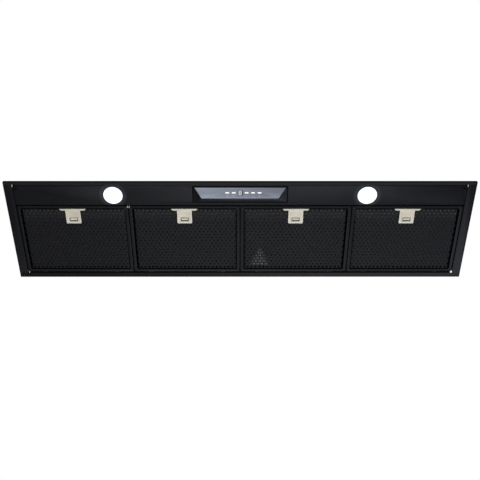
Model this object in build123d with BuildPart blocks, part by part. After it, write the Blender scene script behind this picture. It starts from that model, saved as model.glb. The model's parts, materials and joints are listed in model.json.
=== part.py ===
from build123d import *
import math
import os

# Undermount range hood. X runs to the right, Y to the rear and Z up.
# The origin is the middle of the seat, the plane that bears on the underside of the cabinet.
# All sizes are in millimetres.

# Flange and filter tray, folded from one sheet
flange_width = 1170.0
flange_depth = 286.0
rim_height = 8.0
sheet = 1.0
flange_corner = 2.0
side_band = 21.5
front_band = 6.5
rear_band = 13.0
seat_lip = 4.0
tray_height = 14.0
ledge_width = 20.0
front_relief = 8.0
rear_relief = 3.5

# Front fascia
fascia_recess = 1.5
fascia_gap = 2.0
fascia_depth = 56.0
fascia_notch = 4.0
fascia_notch_length = 6.0
fascia_screw_inset_x = 5.5
fascia_screw_inset_y = 12.0

# Grease filters
filter_count = 4
filter_height = 9.0
filter_gap = 2.5
filter_side_gap = 1.75
filter_recess = 2.5
filter_front_gap = 6.5
filter_rear_gap = 3.0
filter_sheet = 0.8
bottom_lip = 7.5
top_lip = 6.0
lip_corner = 4.0
grille_sheet = 0.6
grille_clearance = 0.3
hexagon_pitch = 28.0
hexagon_web = 5.0
grille_border = 16.0
media_sheet = 0.5
media_bottom_gap = 3.3
media_top_gap = 0.1
media_pitch = 18.0
media_crest = 4.0
hinge_tab_width = 12.0
hinge_tab_thickness = 1.2
hinge_tab_reach = 5.0
hinge_tab_spacing = 190.0
hinge_axis_setback = 1.0
hinge_slot_clearance = 2.0
hinge_slot_drop = 1.5
hinge_channel_depth = 5.0
hinge_channel_margin = 20.0

# Filter latch
latch_start = 5.2
latch_bar_width = 65.6
latch_bar_depth = 4.4
latch_bar_taper = 4.0
latch_bar_tip = 1.2
latch_width = 37.2
latch_length = 42.0
latch_corner = 2.5
latch_wall = 1.5
latch_face = 1.2
latch_panel_border = 4.2
latch_panel_recess = 0.5
latch_panel_corner = 1.2
latch_window_width = 20.0
latch_window_end = 5.8
finger_tab_width = 17.0
finger_tab_length = 5.4
finger_tab_shy = 0.3
finger_tab_front_gap = 2.3
finger_tab_play = 0.7
latch_travel = 2.6
slider_width = 24.0
slider_sheet = 1.0
slider_lift = 0.2
slider_front = 8.5
slider_end_overhang = 1.0
tongue_width = 12.0
tongue_overlap = 1.5
tongue_clearance = 0.8
spring_peg_length = 2.0
spring_peg_width = 4.0
spring_length = 11.4
spring_width = 4.0
spring_strip = 0.5
spring_folds = 6
spring_play = 0.3

# Lamps
lamp_spacing = 316.5
lamp_setback = 37.0
lens_diameter = 49.6
bezel_diameter = 55.0
bezel_height = 1.4
bezel_chamfer = 0.7
lens_recess = 0.4
lens_thickness = 2.0
barrel_diameter = 52.6
barrel_height = 8.0
barrel_wall = 1.6
lamp_clearance = 0.3
fin_count = 9
fin_thickness = 1.4
fin_height = 2.6

# Control panel
panel_width = 237.0
panel_setback = 11.5
panel_depth = 45.5
ridge_width = 196.0
ridge_run = 30.5
ridge_flat = 2.0
panel_drop = 10.0
panel_wall = 2.5
panel_seam_height = 0.4
panel_seam_depth = 2.8
panel_rim_inset = 5.0
panel_rim_height = 5.0
panel_rim_wall = 1.5
panel_rim_clearance = 1.0
face_margin = 1.5
face_thickness = 0.9
face_pocket = 0.4
face_clearance = 0.2
button_pitch = 16.0
button_places = (-2, -1, 1, 2, 3)
button_names = ("timer", "light", "down", "up", "power")
button_width = 9.4
button_height = 3.0
button_line = -0.8
button_proud = 0.6
button_clearance = 0.3
button_flange = 1.5
button_flange_thickness = 1.2
button_travel = 1.2
window_width = 13.0
window_height = 12.0
window_ledge = 1.2
board_width = 120.0
board_height = 20.0
board_thickness = 1.6
board_shift = -1.0
digit_width = 8.2
digit_height = 7.2
switch_size = 4.0
switch_height = 1.0
board_post_radius = 2.2
board_post_inset_x = 8.0
board_post_inset_y = 3.6

# Galvanised body over the tray
body_inset = 2.0
body_height = 94.0
front_slope_run = 57.0
body_foot = 12.0
cap_flange = 14.0
blower_opening_width = 240.0
fixing_hole = 5.0
fixing_height = 12.0
fixing_pitch = 160.0
bar_width = 12.0
bar_height = 6.5
bar_foot = 6.0
bar_places = (-1, 0, 1)

# Motor housing and duct outlet
housing_width = 280.0
housing_depth = 166.0
housing_height = 50.0
housing_corner = 10.0
housing_flange = 8.0
housing_screw_pitch = 93.0
spigot_diameter = 149.0
spigot_wall = 2.0
spigot_height = 37.0
spigot_flange_diameter = 166.0
spigot_screw_radius = 79.2
spigot_flange_thickness = 3.0
damper_height = 8.0
damper_thickness = 1.2
damper_pin_radius = 1.5
damper_pin_play = 0.3
damper_offset = 3.5
damper_edge_gap = 1.0
damper_bar_width = 5.0
damper_bar_height = 3.0
damper_stop_size = 5.0

# Blower
fan_offset_y = -12.0
fan_height = 70.0
impeller_radius = 44.0
impeller_bore = 34.0
impeller_half_width = 46.0
impeller_ring = 2.0
blade_count = 28
blade_thickness = 1.0
blade_sweep = 6.0
blade_bulge = 1.0
scroll_growth = 6.5
scroll_radius = 51.0
scroll_half_width = 50.0
scroll_wall = 2.0
tongue_angle = 65.0
mouth_left = -22.0
mouth_flange = 6.0
inlet_radius = 36.0
inlet_lip = 4.0
motor_radius = 28.0
motor_length = 50.0
motor_start = 10.0
motor_edge = 4.0
shaft_radius = 4.0
shaft_play = 0.08
shaft_seat_play = 0.05
shaft_back_cover = 9.0
shaft_overhang = 4.0
hub_radius = 9.0
hub_half_length = 7.0
bracket_thickness = 3.0
bracket_hub_radius = 16.0
bracket_arm_width = 9.0
bush_radius = 4.5
bush_bore = 1.8
bush_circle_radius = 43.5

# Electrical parts on the body
capacitor_radius = 14.0
capacitor_length = 44.0
capacitor_clip = 3.0
capacitor_band = 1.5
capacitor_band_height = 14.0
capacitor_side_gap = 47.0
terminal_width = 100.0
terminal_depth = 84.0
terminal_height = 32.0
terminal_wall = 2.5
terminal_lid_thickness = 3.0
terminal_lid_chamfer = 1.5
terminal_corner = 6.0
terminal_side_gap = 24.0
terminal_screw_pitch = 70.0
gland_flange_radius = 12.0
gland_flange_thickness = 5.0
gland_barrel_radius = 9.0
gland_barrel_length = 12.0
gland_bore = 4.0
driver_length = 120.0
driver_depth = 42.0
driver_height = 26.0
driver_corner = 3.0
driver_chamfer = 1.5
driver_ear = 12.0
driver_ear_width = 21.0
driver_ear_thickness = 3.0

# Screws
screw_head_radius = 3.6
screw_head_height = 2.0
screw_shank_radius = 1.8
screw_hole_radius = 2.0
screw_length = 5.0
fascia_screw_length = 14.0

# Levels and edges that follow from the sizes above
front_y = -flange_depth / 2
rear_y = flange_depth / 2
flange_face_z = -rim_height
tray_half_width = flange_width / 2 - side_band
tray_front = front_y + front_band
tray_rear = rear_y - rear_band
tray_depth = tray_rear - tray_front
tray_centre_y = (tray_front + tray_rear) / 2
ledge_top = flange_face_z + tray_height
ledge_underside = ledge_top - sheet
fascia_face_z = flange_face_z + fascia_recess
fascia_front = tray_front + fascia_gap
fascia_rear = fascia_front + fascia_depth
fascia_half_width = tray_half_width - sheet
filter_face_z = flange_face_z + filter_recess
filter_gaps = 2 * filter_side_gap + (filter_count - 1) * filter_gap
filter_width = (2 * tray_half_width - filter_gaps) / filter_count
filter_rear = tray_rear - filter_rear_gap
filter_front = fascia_rear + filter_front_gap
filter_depth = filter_rear - filter_front
filter_centre_y = (filter_front + filter_rear) / 2
filter_pitch = filter_width + filter_gap
filter_centres = [filter_pitch * (place - (filter_count - 1) / 2) for place in range(filter_count)]
hinge_y = tray_rear - hinge_axis_setback
hinge_z = filter_face_z + hinge_tab_thickness / 2
grille_z = filter_face_z + filter_sheet
grille_top = grille_z + grille_sheet
slider_z = grille_top + slider_lift
tongue_tip = fascia_rear - sheet - tongue_overlap
body_half_width = tray_half_width + sheet - body_inset
body_front = tray_front - sheet + body_inset
body_rear = tray_rear + sheet - body_inset
body_top = ledge_top + body_height
housing_centre_y = body_rear - housing_flange - housing_depth / 2
housing_top = body_top + housing_height
spigot_radius = spigot_diameter / 2
spigot_bore = spigot_radius - spigot_wall
fan_y = housing_centre_y + fan_offset_y
fan_z = ledge_top + fan_height
motor_back = -(motor_start + motor_length)

os.makedirs("parts", exist_ok=True)


def upright_plane(y):
    """Plane across the hood at depth y, drawn as seen from the front."""
    return Plane.XZ.offset(-y)


def side_plane(x):
    """Plane along the depth of the hood at width x, drawn as seen from the right."""
    return Plane.YZ.offset(x)


def tray_rectangle(grow, mode=Mode.ADD):
    """Outline of the tray opening, made larger all round by grow."""
    with Locations((0, tray_centre_y)):
        Rectangle(2 * (tray_half_width + grow), tray_depth + 2 * grow, mode=mode)


def band_from(start, end, half_width, mode=Mode.ADD):
    """Rectangle between two depths, centred across the hood."""
    with Locations((0, (start + end) / 2)):
        Rectangle(2 * half_width, end - start, mode=mode)


# Canopy frame: seat lip, outer wall, visible band, tray wall, ledge and hinge channel
hinge_slot_width = hinge_tab_width + 2 * hinge_slot_clearance
hinge_slot_height = hinge_tab_reach + hinge_tab_thickness + hinge_slot_drop
hinge_tab_places = [
    centre + side * hinge_tab_spacing / 2 for centre in filter_centres for side in (-1, 1)
]
hinge_slot_centre = hinge_z - hinge_slot_drop + hinge_slot_height / 2
hinge_slot_top = hinge_z - hinge_slot_drop + hinge_slot_height
channel_front = tray_rear + sheet
channel_rear = channel_front + hinge_channel_depth
channel_half_width = tray_half_width - hinge_channel_margin
channel_height = hinge_slot_top - flange_face_z
fascia_screw_places = [
    (side * (fascia_half_width - fascia_screw_inset_x), fascia_front + fascia_screw_inset_y)
    for side in (-1, 1)
]

with BuildPart() as canopy_frame:
    with BuildSketch(Plane.XY.offset(flange_face_z)):
        RectangleRounded(flange_width, flange_depth, flange_corner)
        tray_rectangle(0, Mode.SUBTRACT)
    extrude(amount=sheet)
    with BuildSketch(Plane.XY.offset(flange_face_z)):
        RectangleRounded(flange_width, flange_depth, flange_corner)
        RectangleRounded(
            flange_width - 2 * sheet,
            flange_depth - 2 * sheet,
            flange_corner - sheet,
            mode=Mode.SUBTRACT,
        )
    extrude(amount=rim_height)
    with BuildSketch(Plane.XY.offset(-sheet)):
        RectangleRounded(flange_width, flange_depth, flange_corner)
        Rectangle(flange_width - 2 * seat_lip, flange_depth - 2 * seat_lip, mode=Mode.SUBTRACT)
    extrude(amount=sheet)
    with BuildSketch(Plane.XY.offset(flange_face_z)):
        tray_rectangle(sheet)
        tray_rectangle(0, Mode.SUBTRACT)
    extrude(amount=tray_height)
    with BuildSketch(Plane.XY.offset(ledge_underside)):
        tray_rectangle(sheet)
        tray_rectangle(-ledge_width, Mode.SUBTRACT)
        with Locations(*fascia_screw_places):
            Circle(screw_hole_radius, mode=Mode.SUBTRACT)
    extrude(amount=sheet)
    with BuildSketch(Plane.XY.offset(flange_face_z + sheet)):
        for relief, corner_y, inward in (
            (front_relief, tray_front, 1), (rear_relief, tray_rear, -1)
        ):
            with Locations(*[
                (
                    side * (tray_half_width - (relief - sheet) / 2),
                    corner_y + inward * (relief - sheet) / 2,
                )
                for side in (-1, 1)
            ]):
                Rectangle(relief + sheet, relief + sheet)
    extrude(amount=tray_height - 2 * sheet, mode=Mode.SUBTRACT)
    with BuildSketch(Plane.XY.offset(flange_face_z + sheet)):
        band_from(channel_front, channel_rear, channel_half_width)
    extrude(amount=channel_height)
    with BuildSketch(Plane.XY.offset(flange_face_z + sheet)):
        band_from(channel_front, channel_rear - sheet, channel_half_width - sheet)
    extrude(amount=channel_height - sheet, mode=Mode.SUBTRACT)
    with BuildSketch(upright_plane(tray_rear + sheet)):
        with Locations(*[(x, hinge_slot_centre) for x in hinge_tab_places]):
            Rectangle(hinge_slot_width, hinge_slot_height)
    extrude(amount=sheet, mode=Mode.SUBTRACT)
canopy_frame.part.label = "canopy_frame"
export_step(canopy_frame.part, "parts/canopy_frame.step")

# Front fascia: face with folded front and rear edges, cut for lamps, controls and latches
lamp_y = front_y + lamp_setback
panel_front = front_y + panel_setback
panel_rear = panel_front + panel_depth
panel_centre_y = (panel_front + panel_rear) / 2
cutout_width = panel_width - 2 * panel_rim_inset
cutout_depth = panel_depth - 2 * panel_rim_inset
fascia_fold_height = ledge_underside - fascia_face_z
lamp_hole_radius = barrel_diameter / 2 + lamp_clearance
latch_slot_width = tongue_width + 2 * tongue_clearance
latch_slot_height = slider_sheet + 2 * tongue_clearance
latch_slot_z = slider_z + slider_sheet / 2

with BuildPart() as front_fascia:
    with BuildSketch(Plane.XY.offset(fascia_face_z)):
        band_from(fascia_front, fascia_rear, fascia_half_width)
        with Locations(*[
            (side * (fascia_half_width - fascia_notch / 2), fascia_front + fascia_notch_length / 2)
            for side in (-1, 1)
        ]):
            Rectangle(fascia_notch, fascia_notch_length, mode=Mode.SUBTRACT)
        with Locations((-lamp_spacing, lamp_y), (lamp_spacing, lamp_y)):
            Circle(lamp_hole_radius, mode=Mode.SUBTRACT)
        with Locations((0, panel_centre_y)):
            Rectangle(cutout_width, cutout_depth, mode=Mode.SUBTRACT)
        with Locations(*fascia_screw_places):
            Circle(screw_hole_radius, mode=Mode.SUBTRACT)
    extrude(amount=sheet)
    with BuildSketch(Plane.XY.offset(fascia_face_z)):
        band_from(fascia_front, fascia_front + sheet, fascia_half_width - fascia_notch)
        band_from(fascia_rear - sheet, fascia_rear, fascia_half_width - fascia_notch)
    extrude(amount=fascia_fold_height)
    with BuildSketch(upright_plane(fascia_rear)):
        with Locations(*[(x, latch_slot_z) for x in filter_centres]):
            Rectangle(latch_slot_width, latch_slot_height)
    extrude(amount=sheet, mode=Mode.SUBTRACT)
front_fascia.part.label = "front_fascia"
export_step(front_fascia.part, "parts/front_fascia.step")

# Galvanised body: one folded sheet with a leaning front wall, a top, a rear wall and feet
slope_slant = math.hypot(front_slope_run, body_height) / body_height
housing_screw_places = [
    (x, housing_centre_y + side * (housing_depth + housing_flange) / 2)
    for side in (-1, 1)
    for x in (-housing_screw_pitch, 0, housing_screw_pitch)
]
foot_half_width = body_half_width - cap_flange - sheet
box_start = housing_width / 2 + housing_flange + terminal_side_gap
terminal_x = box_start + terminal_width / 2
driver_x = -box_start - driver_ear - driver_length / 2
driver_screw_shift = (driver_length + driver_ear) / 2
terminal_screw_places = [
    (terminal_x - terminal_screw_pitch / 2, housing_centre_y),
    (terminal_x + terminal_screw_pitch / 2, housing_centre_y),
]
driver_screw_places = [
    (driver_x - driver_screw_shift, housing_centre_y),
    (driver_x + driver_screw_shift, housing_centre_y),
]


def body_section(inset):
    """Corners of the body's side view, drawn in by inset from the outer faces."""
    slant_inset = inset * slope_slant
    slope_top = front_slope_run * (body_height - inset) / body_height
    return [
        (body_front + slant_inset, ledge_top),
        (body_front + slant_inset + slope_top, body_top - inset),
        (body_rear - inset, body_top - inset),
        (body_rear - inset, ledge_top),
    ]


with BuildPart() as body_wrap:
    with BuildSketch(side_plane(-body_half_width)):
        with BuildLine():
            Polyline(*body_section(0), close=True)
        make_face()
        with BuildLine():
            Polyline(*body_section(sheet), close=True)
        make_face(mode=Mode.SUBTRACT)
    extrude(amount=2 * body_half_width)
    with BuildSketch(Plane.XY.offset(ledge_top)):
        band_from(body_front + sheet, body_front + body_foot, foot_half_width)
        band_from(body_rear - body_foot, body_rear, foot_half_width)
    extrude(amount=sheet)
    with BuildSketch(Plane.XY.offset(body_top - sheet)):
        with Locations((0, housing_centre_y)):
            Rectangle(blower_opening_width, housing_depth - 2 * sheet)
        with Locations(*housing_screw_places, *terminal_screw_places, *driver_screw_places):
            Circle(screw_hole_radius)
    extrude(amount=sheet, mode=Mode.SUBTRACT)
body_wrap.part.label = "body_wrap"
export_step(body_wrap.part, "parts/body_wrap.step")

# End caps: side walls with flanges folded in under the body sheet
fixing_places = [
    ((body_front + body_rear) / 2 - fixing_pitch / 2, fixing_height),
    ((body_front + body_rear) / 2 + fixing_pitch / 2, fixing_height),
]

for side, name in ((-1, "left"), (1, "right")):
    with BuildPart() as end_cap:
        with BuildSketch(side_plane(side * body_half_width)):
            with BuildLine():
                Polyline(*body_section(sheet), close=True)
            make_face()
        extrude(amount=-side * cap_flange)
        with BuildSketch(side_plane(side * (body_half_width - sheet))):
            with BuildLine():
                Polyline(*body_section(2 * sheet), close=True)
            make_face()
        extrude(amount=-side * cap_flange, mode=Mode.SUBTRACT)
        with BuildSketch(side_plane(side * body_half_width)):
            with Locations(*fixing_places):
                Circle(fixing_hole / 2)
        extrude(amount=-side * sheet, mode=Mode.SUBTRACT)
    end_cap.part.label = f"end_cap_{name}"
    export_step(end_cap.part, f"parts/end_cap_{name}.step")

# Cross bars over the joints between the filters
bar_front = body_front + body_foot + sheet / 2
bar_rear = body_rear - body_foot - sheet / 2

with BuildPart() as cross_bars:
    with BuildSketch(upright_plane(bar_rear)):
        for place in bar_places:
            bar_x = place * filter_pitch
            with BuildLine():
                Polyline(
                    (bar_x - bar_width / 2 - bar_foot, ledge_top),
                    (bar_x - bar_width / 2 - bar_foot, ledge_top + sheet),
                    (bar_x - bar_width / 2, ledge_top + sheet),
                    (bar_x - bar_width / 2, ledge_top + bar_height),
                    (bar_x + bar_width / 2, ledge_top + bar_height),
                    (bar_x + bar_width / 2, ledge_top + sheet),
                    (bar_x + bar_width / 2 + bar_foot, ledge_top + sheet),
                    (bar_x + bar_width / 2 + bar_foot, ledge_top),
                    (bar_x + bar_width / 2 - sheet, ledge_top),
                    (bar_x + bar_width / 2 - sheet, ledge_top + bar_height - sheet),
                    (bar_x - bar_width / 2 + sheet, ledge_top + bar_height - sheet),
                    (bar_x - bar_width / 2 + sheet, ledge_top),
                    close=True,
                )
            make_face()
    extrude(amount=bar_rear - bar_front)
cross_bars.part.label = "cross_bars"
export_step(cross_bars.part, "parts/cross_bars.step")

# Motor housing: raised box over the middle of the body, open on top for the scroll's mouth
second_radius = scroll_radius + scroll_growth
third_radius = second_radius + scroll_growth
half_growth = scroll_growth / 2
scroll_right = half_growth + third_radius
mouth_middle = (mouth_left + scroll_right) / 2

with BuildPart() as motor_housing:
    with BuildSketch(Plane.XY.offset(body_top)):
        with Locations((0, housing_centre_y)):
            RectangleRounded(housing_width, housing_depth, housing_corner)
            RectangleRounded(
                housing_width - 2 * sheet,
                housing_depth - 2 * sheet,
                housing_corner - sheet,
                mode=Mode.SUBTRACT,
            )
    extrude(amount=housing_height)
    with BuildSketch(Plane.XY.offset(housing_top - sheet)):
        with Locations((0, housing_centre_y)):
            RectangleRounded(housing_width, housing_depth, housing_corner)
            with PolarLocations(spigot_screw_radius, 4):
                Circle(screw_hole_radius, mode=Mode.SUBTRACT)
        with Locations((0, fan_y + mouth_middle)):
            Rectangle(2 * scroll_half_width, scroll_right - mouth_left, mode=Mode.SUBTRACT)
    extrude(amount=sheet)
    with BuildSketch(Plane.XY.offset(body_top)):
        with Locations((0, housing_centre_y)):
            RectangleRounded(
                housing_width + 2 * housing_flange,
                housing_depth + 2 * housing_flange,
                housing_corner,
            )
            RectangleRounded(
                housing_width - 2 * sheet,
                housing_depth - 2 * sheet,
                housing_corner - sheet,
                mode=Mode.SUBTRACT,
            )
        with Locations(*housing_screw_places):
            Circle(screw_hole_radius, mode=Mode.SUBTRACT)
    extrude(amount=sheet)
motor_housing.part.label = "motor_housing"
export_step(motor_housing.part, "parts/motor_housing.step")

# Outlet spigot: flange and tube with the rest bar and stops of the flaps
damper_z = housing_top + damper_height
damper_underside = damper_z - damper_thickness / 2
spigot_plane = Plane((0, housing_centre_y, housing_top))

with BuildPart() as outlet_spigot:
    with BuildSketch(spigot_plane):
        Circle(spigot_flange_diameter / 2)
        Circle(spigot_bore, mode=Mode.SUBTRACT)
        with PolarLocations(spigot_screw_radius, 4):
            Circle(screw_hole_radius, mode=Mode.SUBTRACT)
    extrude(amount=spigot_flange_thickness)
    with BuildSketch(spigot_plane):
        Circle(spigot_radius)
        Circle(spigot_bore, mode=Mode.SUBTRACT)
    extrude(amount=spigot_height)
    with BuildSketch(Plane((0, housing_centre_y, damper_underside - damper_pin_play))):
        Rectangle(2 * (spigot_bore + spigot_wall / 2), damper_bar_width)
        with Locations((0, spigot_bore), (0, -spigot_bore)):
            Rectangle(damper_stop_size, 2 * damper_stop_size)
        Circle(spigot_bore + spigot_wall / 2, mode=Mode.INTERSECT)
    extrude(amount=-damper_bar_height)
    with BuildSketch(side_plane(-spigot_bore - spigot_wall)):
        with Locations(
            (housing_centre_y - damper_offset, damper_z), (housing_centre_y + damper_offset, damper_z)
        ):
            Circle(damper_pin_radius + damper_pin_play)
    extrude(amount=2 * (spigot_bore + spigot_wall), mode=Mode.SUBTRACT)
outlet_spigot.part.label = "outlet_spigot"
export_step(outlet_spigot.part, "parts/outlet_spigot.step")

# Non-return flaps: two half discs on hinge rods
flap_radius = spigot_bore - damper_edge_gap
flap_rod_half_length = spigot_bore + spigot_wall / 2

for side, name in ((-1, "front"), (1, "rear")):
    flap_axis_y = housing_centre_y + side * damper_offset
    with BuildPart() as damper_flap:
        with BuildSketch(Plane((0, housing_centre_y, damper_underside))):
            Circle(flap_radius)
            with Locations((0, -side * (flap_radius - damper_offset))):
                Rectangle(2 * flap_radius, 2 * flap_radius, mode=Mode.SUBTRACT)
        extrude(amount=damper_thickness)
        with BuildSketch(side_plane(-flap_rod_half_length)):
            with Locations((flap_axis_y, damper_z)):
                Circle(damper_pin_radius)
        extrude(amount=2 * flap_rod_half_length)
    damper_flap.part.label = f"damper_flap_{name}"
    export_step(damper_flap.part, f"parts/damper_flap_{name}.step")

# Scroll casing of the blower, drawn around the fan shaft
mouth_z = housing_top - sheet - fan_z
tongue_point = (
    -half_growth + scroll_radius * math.cos(math.radians(tongue_angle)),
    -half_growth + scroll_radius * math.sin(math.radians(tongue_angle)),
)


def fan_plane(x):
    """Plane square to the fan shaft, with its own origin on the shaft."""
    return Plane(origin=(x, fan_y, fan_z), x_dir=(0, 1, 0), z_dir=(1, 0, 0))


with BuildSketch() as scroll_outline:
    with BuildLine():
        Line((mouth_left, mouth_z), tongue_point)
        CenterArc((-half_growth, -half_growth), scroll_radius, tongue_angle, 180 - tongue_angle)
        CenterArc((half_growth, -half_growth), second_radius, 180, 90)
        CenterArc((half_growth, half_growth), third_radius, 270, 90)
        Line((scroll_right, half_growth), (scroll_right, mouth_z))
        Line((scroll_right, mouth_z), (mouth_left, mouth_z))
    make_face()

for side, name in ((-1, "left"), (1, "right")):
    with BuildPart() as volute:
        with BuildSketch(fan_plane(0)):
            add(scroll_outline.sketch_local)
            offset(amount=scroll_wall)
            with Locations((mouth_middle, mouth_z + third_radius)):
                Rectangle(4 * third_radius, 2 * third_radius, mode=Mode.SUBTRACT)
        extrude(amount=side * (scroll_half_width + scroll_wall))
        with BuildSketch(fan_plane(0)):
            with Locations((mouth_middle, mouth_z - scroll_wall / 2)):
                Rectangle(scroll_right - mouth_left + 2 * mouth_flange, scroll_wall)
        extrude(amount=side * (scroll_half_width + mouth_flange))
        with BuildSketch(fan_plane(side * (scroll_half_width + scroll_wall))):
            Circle(inlet_radius + scroll_wall)
        extrude(amount=side * inlet_lip)
        with BuildSketch(fan_plane(0)):
            add(scroll_outline.sketch_local)
        extrude(amount=side * scroll_half_width, mode=Mode.SUBTRACT)
        with BuildSketch(fan_plane(0)):
            Circle(inlet_radius)
        extrude(amount=side * (scroll_half_width + scroll_wall + inlet_lip), mode=Mode.SUBTRACT)
    volute.part.label = f"volute_{name}"
    export_step(volute.part, f"parts/volute_{name}.step")

# Impeller: cages of bent blades on both sides of a middle disc with the hub
blade_tip = impeller_radius - impeller_ring / 2
blade_middle = (impeller_bore + blade_tip) / 2

with BuildSketch() as blade_profile:
    with BuildLine():
        Polyline(
            (impeller_bore, 0),
            (blade_middle, blade_bulge),
            (blade_tip, blade_sweep),
            (blade_tip - blade_thickness, blade_sweep),
            (blade_middle, blade_bulge + blade_thickness),
            (impeller_bore, blade_thickness),
            close=True,
        )
    make_face()

with BuildPart() as impeller_cages:
    for side in (-1, 1):
        with BuildSketch(fan_plane(side * impeller_ring / 2)):
            with PolarLocations(0, blade_count):
                add(blade_profile.sketch_local)
        extrude(amount=side * (impeller_half_width - impeller_ring / 2))
        with BuildSketch(fan_plane(side * impeller_half_width)):
            Circle(impeller_radius)
            Circle(impeller_bore, mode=Mode.SUBTRACT)
        extrude(amount=-side * impeller_ring)
impeller_cages.part.label = "impeller_cages"
export_step(impeller_cages.part, "parts/impeller_cages.step")

with BuildPart() as impeller_disc:
    with BuildSketch(fan_plane(-impeller_ring / 2)):
        Circle(impeller_radius)
    extrude(amount=impeller_ring)
    with BuildSketch(fan_plane(-hub_half_length)):
        Circle(hub_radius)
    extrude(amount=2 * hub_half_length)
    with BuildSketch(fan_plane(-hub_half_length)):
        Circle(shaft_radius + shaft_seat_play)
    extrude(amount=2 * hub_half_length, mode=Mode.SUBTRACT)
impeller_disc.part.label = "impeller_disc"
export_step(impeller_disc.part, "parts/impeller_disc.step")

# Motor: can with a bore for the shaft, hung on a three-armed bracket
shaft_back = motor_back + shaft_back_cover

with BuildPart() as motor_shaft:
    with BuildSketch(fan_plane(shaft_back)):
        Circle(shaft_radius)
    extrude(amount=hub_half_length + shaft_overhang - shaft_back)
motor_shaft.part.label = "motor_shaft"
export_step(motor_shaft.part, "parts/motor_shaft.step")

with BuildPart() as motor_can:
    with BuildSketch(fan_plane(motor_back)):
        Circle(motor_radius)
    extrude(amount=motor_length)
    chamfer(motor_can.edges().filter_by(GeomType.CIRCLE).group_by(Axis.X)[-1], motor_edge)
    with BuildSketch(fan_plane(shaft_back - shaft_play)):
        Circle(shaft_radius + shaft_play)
    extrude(amount=-motor_start - shaft_back + shaft_play, mode=Mode.SUBTRACT)
motor_can.part.label = "motor_can"
export_step(motor_can.part, "parts/motor_can.step")

with BuildPart() as motor_bracket:
    with BuildSketch(fan_plane(motor_back)):
        Circle(bracket_hub_radius)
        with PolarLocations(bush_circle_radius / 2, 3, start_angle=90):
            Rectangle(bush_circle_radius, bracket_arm_width)
        with PolarLocations(bush_circle_radius, 3, start_angle=90):
            Circle(bracket_arm_width / 2)
            Circle(bush_bore, mode=Mode.SUBTRACT)
    extrude(amount=-bracket_thickness)
motor_bracket.part.label = "motor_bracket"
export_step(motor_bracket.part, "parts/motor_bracket.step")

with BuildPart() as motor_bushes:
    with BuildSketch(fan_plane(motor_back)):
        with PolarLocations(bush_circle_radius, 3, start_angle=90):
            Circle(bush_radius)
            Circle(bush_bore, mode=Mode.SUBTRACT)
    extrude(amount=-motor_back - scroll_half_width - scroll_wall)
motor_bushes.part.label = "motor_bushes"
export_step(motor_bushes.part, "parts/motor_bushes.step")

# Run capacitor with its clip on the front wall of the motor housing
housing_front = housing_centre_y - housing_depth / 2 + sheet
capacitor_y = housing_front + capacitor_radius + capacitor_clip
capacitor_x = housing_width / 2 - capacitor_side_gap
capacitor_plane = Plane((capacitor_x, capacitor_y, housing_top - housing_height / 2))

with BuildPart() as capacitor:
    with BuildSketch(capacitor_plane):
        Circle(capacitor_radius)
    extrude(amount=capacitor_length / 2, both=True)
    with BuildSketch(capacitor_plane):
        Circle(capacitor_radius + capacitor_band)
        with Locations((0, -(capacitor_radius + capacitor_clip) / 2)):
            Rectangle(capacitor_radius, capacitor_radius + capacitor_clip)
    extrude(amount=capacitor_band_height / 2, both=True)
capacitor.part.label = "capacitor"
export_step(capacitor.part, "parts/capacitor.step")

# Terminal box on the body top, right of the motor housing
terminal_plane = Plane((terminal_x, housing_centre_y, body_top))
gland_z = body_top + terminal_height / 2
terminal_right = terminal_x + terminal_width / 2

with BuildPart() as terminal_box:
    with BuildSketch(terminal_plane):
        RectangleRounded(terminal_width, terminal_depth, terminal_corner)
    extrude(amount=terminal_height)
    with BuildSketch(terminal_plane.offset(terminal_wall)):
        RectangleRounded(
            terminal_width - 2 * terminal_wall,
            terminal_depth - 2 * terminal_wall,
            terminal_corner - terminal_wall,
        )
    extrude(amount=terminal_height - terminal_wall, mode=Mode.SUBTRACT)
    with BuildSketch(side_plane(terminal_right - terminal_wall)):
        with Locations((housing_centre_y, gland_z)):
            Circle(gland_barrel_radius)
    extrude(amount=terminal_wall, mode=Mode.SUBTRACT)
    with BuildSketch(Plane.XY.offset(body_top)):
        with Locations(*terminal_screw_places):
            Circle(screw_hole_radius)
    extrude(amount=terminal_wall, mode=Mode.SUBTRACT)
terminal_box.part.label = "terminal_box"
export_step(terminal_box.part, "parts/terminal_box.step")

with BuildPart() as terminal_lid:
    with BuildSketch(terminal_plane.offset(terminal_height)):
        RectangleRounded(terminal_width, terminal_depth, terminal_corner)
    extrude(amount=terminal_lid_thickness)
    chamfer(terminal_lid.faces().sort_by(Axis.Z)[-1].edges(), terminal_lid_chamfer)
terminal_lid.part.label = "terminal_lid"
export_step(terminal_lid.part, "parts/terminal_lid.step")

with BuildPart() as cable_gland:
    with BuildSketch(side_plane(terminal_right)):
        with Locations((housing_centre_y, gland_z)):
            RegularPolygon(gland_flange_radius, 6)
    extrude(amount=gland_flange_thickness)
    with BuildSketch(side_plane(terminal_right)):
        with Locations((housing_centre_y, gland_z)):
            Circle(gland_barrel_radius)
    extrude(amount=gland_barrel_length)
    with BuildSketch(side_plane(terminal_right - terminal_wall)):
        with Locations((housing_centre_y, gland_z)):
            Circle(gland_barrel_radius - shaft_seat_play)
    extrude(amount=terminal_wall)
    with BuildSketch(side_plane(terminal_right - terminal_wall)):
        with Locations((housing_centre_y, gland_z)):
            Circle(gland_bore)
    extrude(amount=terminal_wall + gland_barrel_length, mode=Mode.SUBTRACT)
cable_gland.part.label = "cable_gland"
export_step(cable_gland.part, "parts/cable_gland.step")

# Lamp driver on the body top, left of the motor housing
driver_plane = Plane((driver_x, housing_centre_y, body_top))

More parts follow.
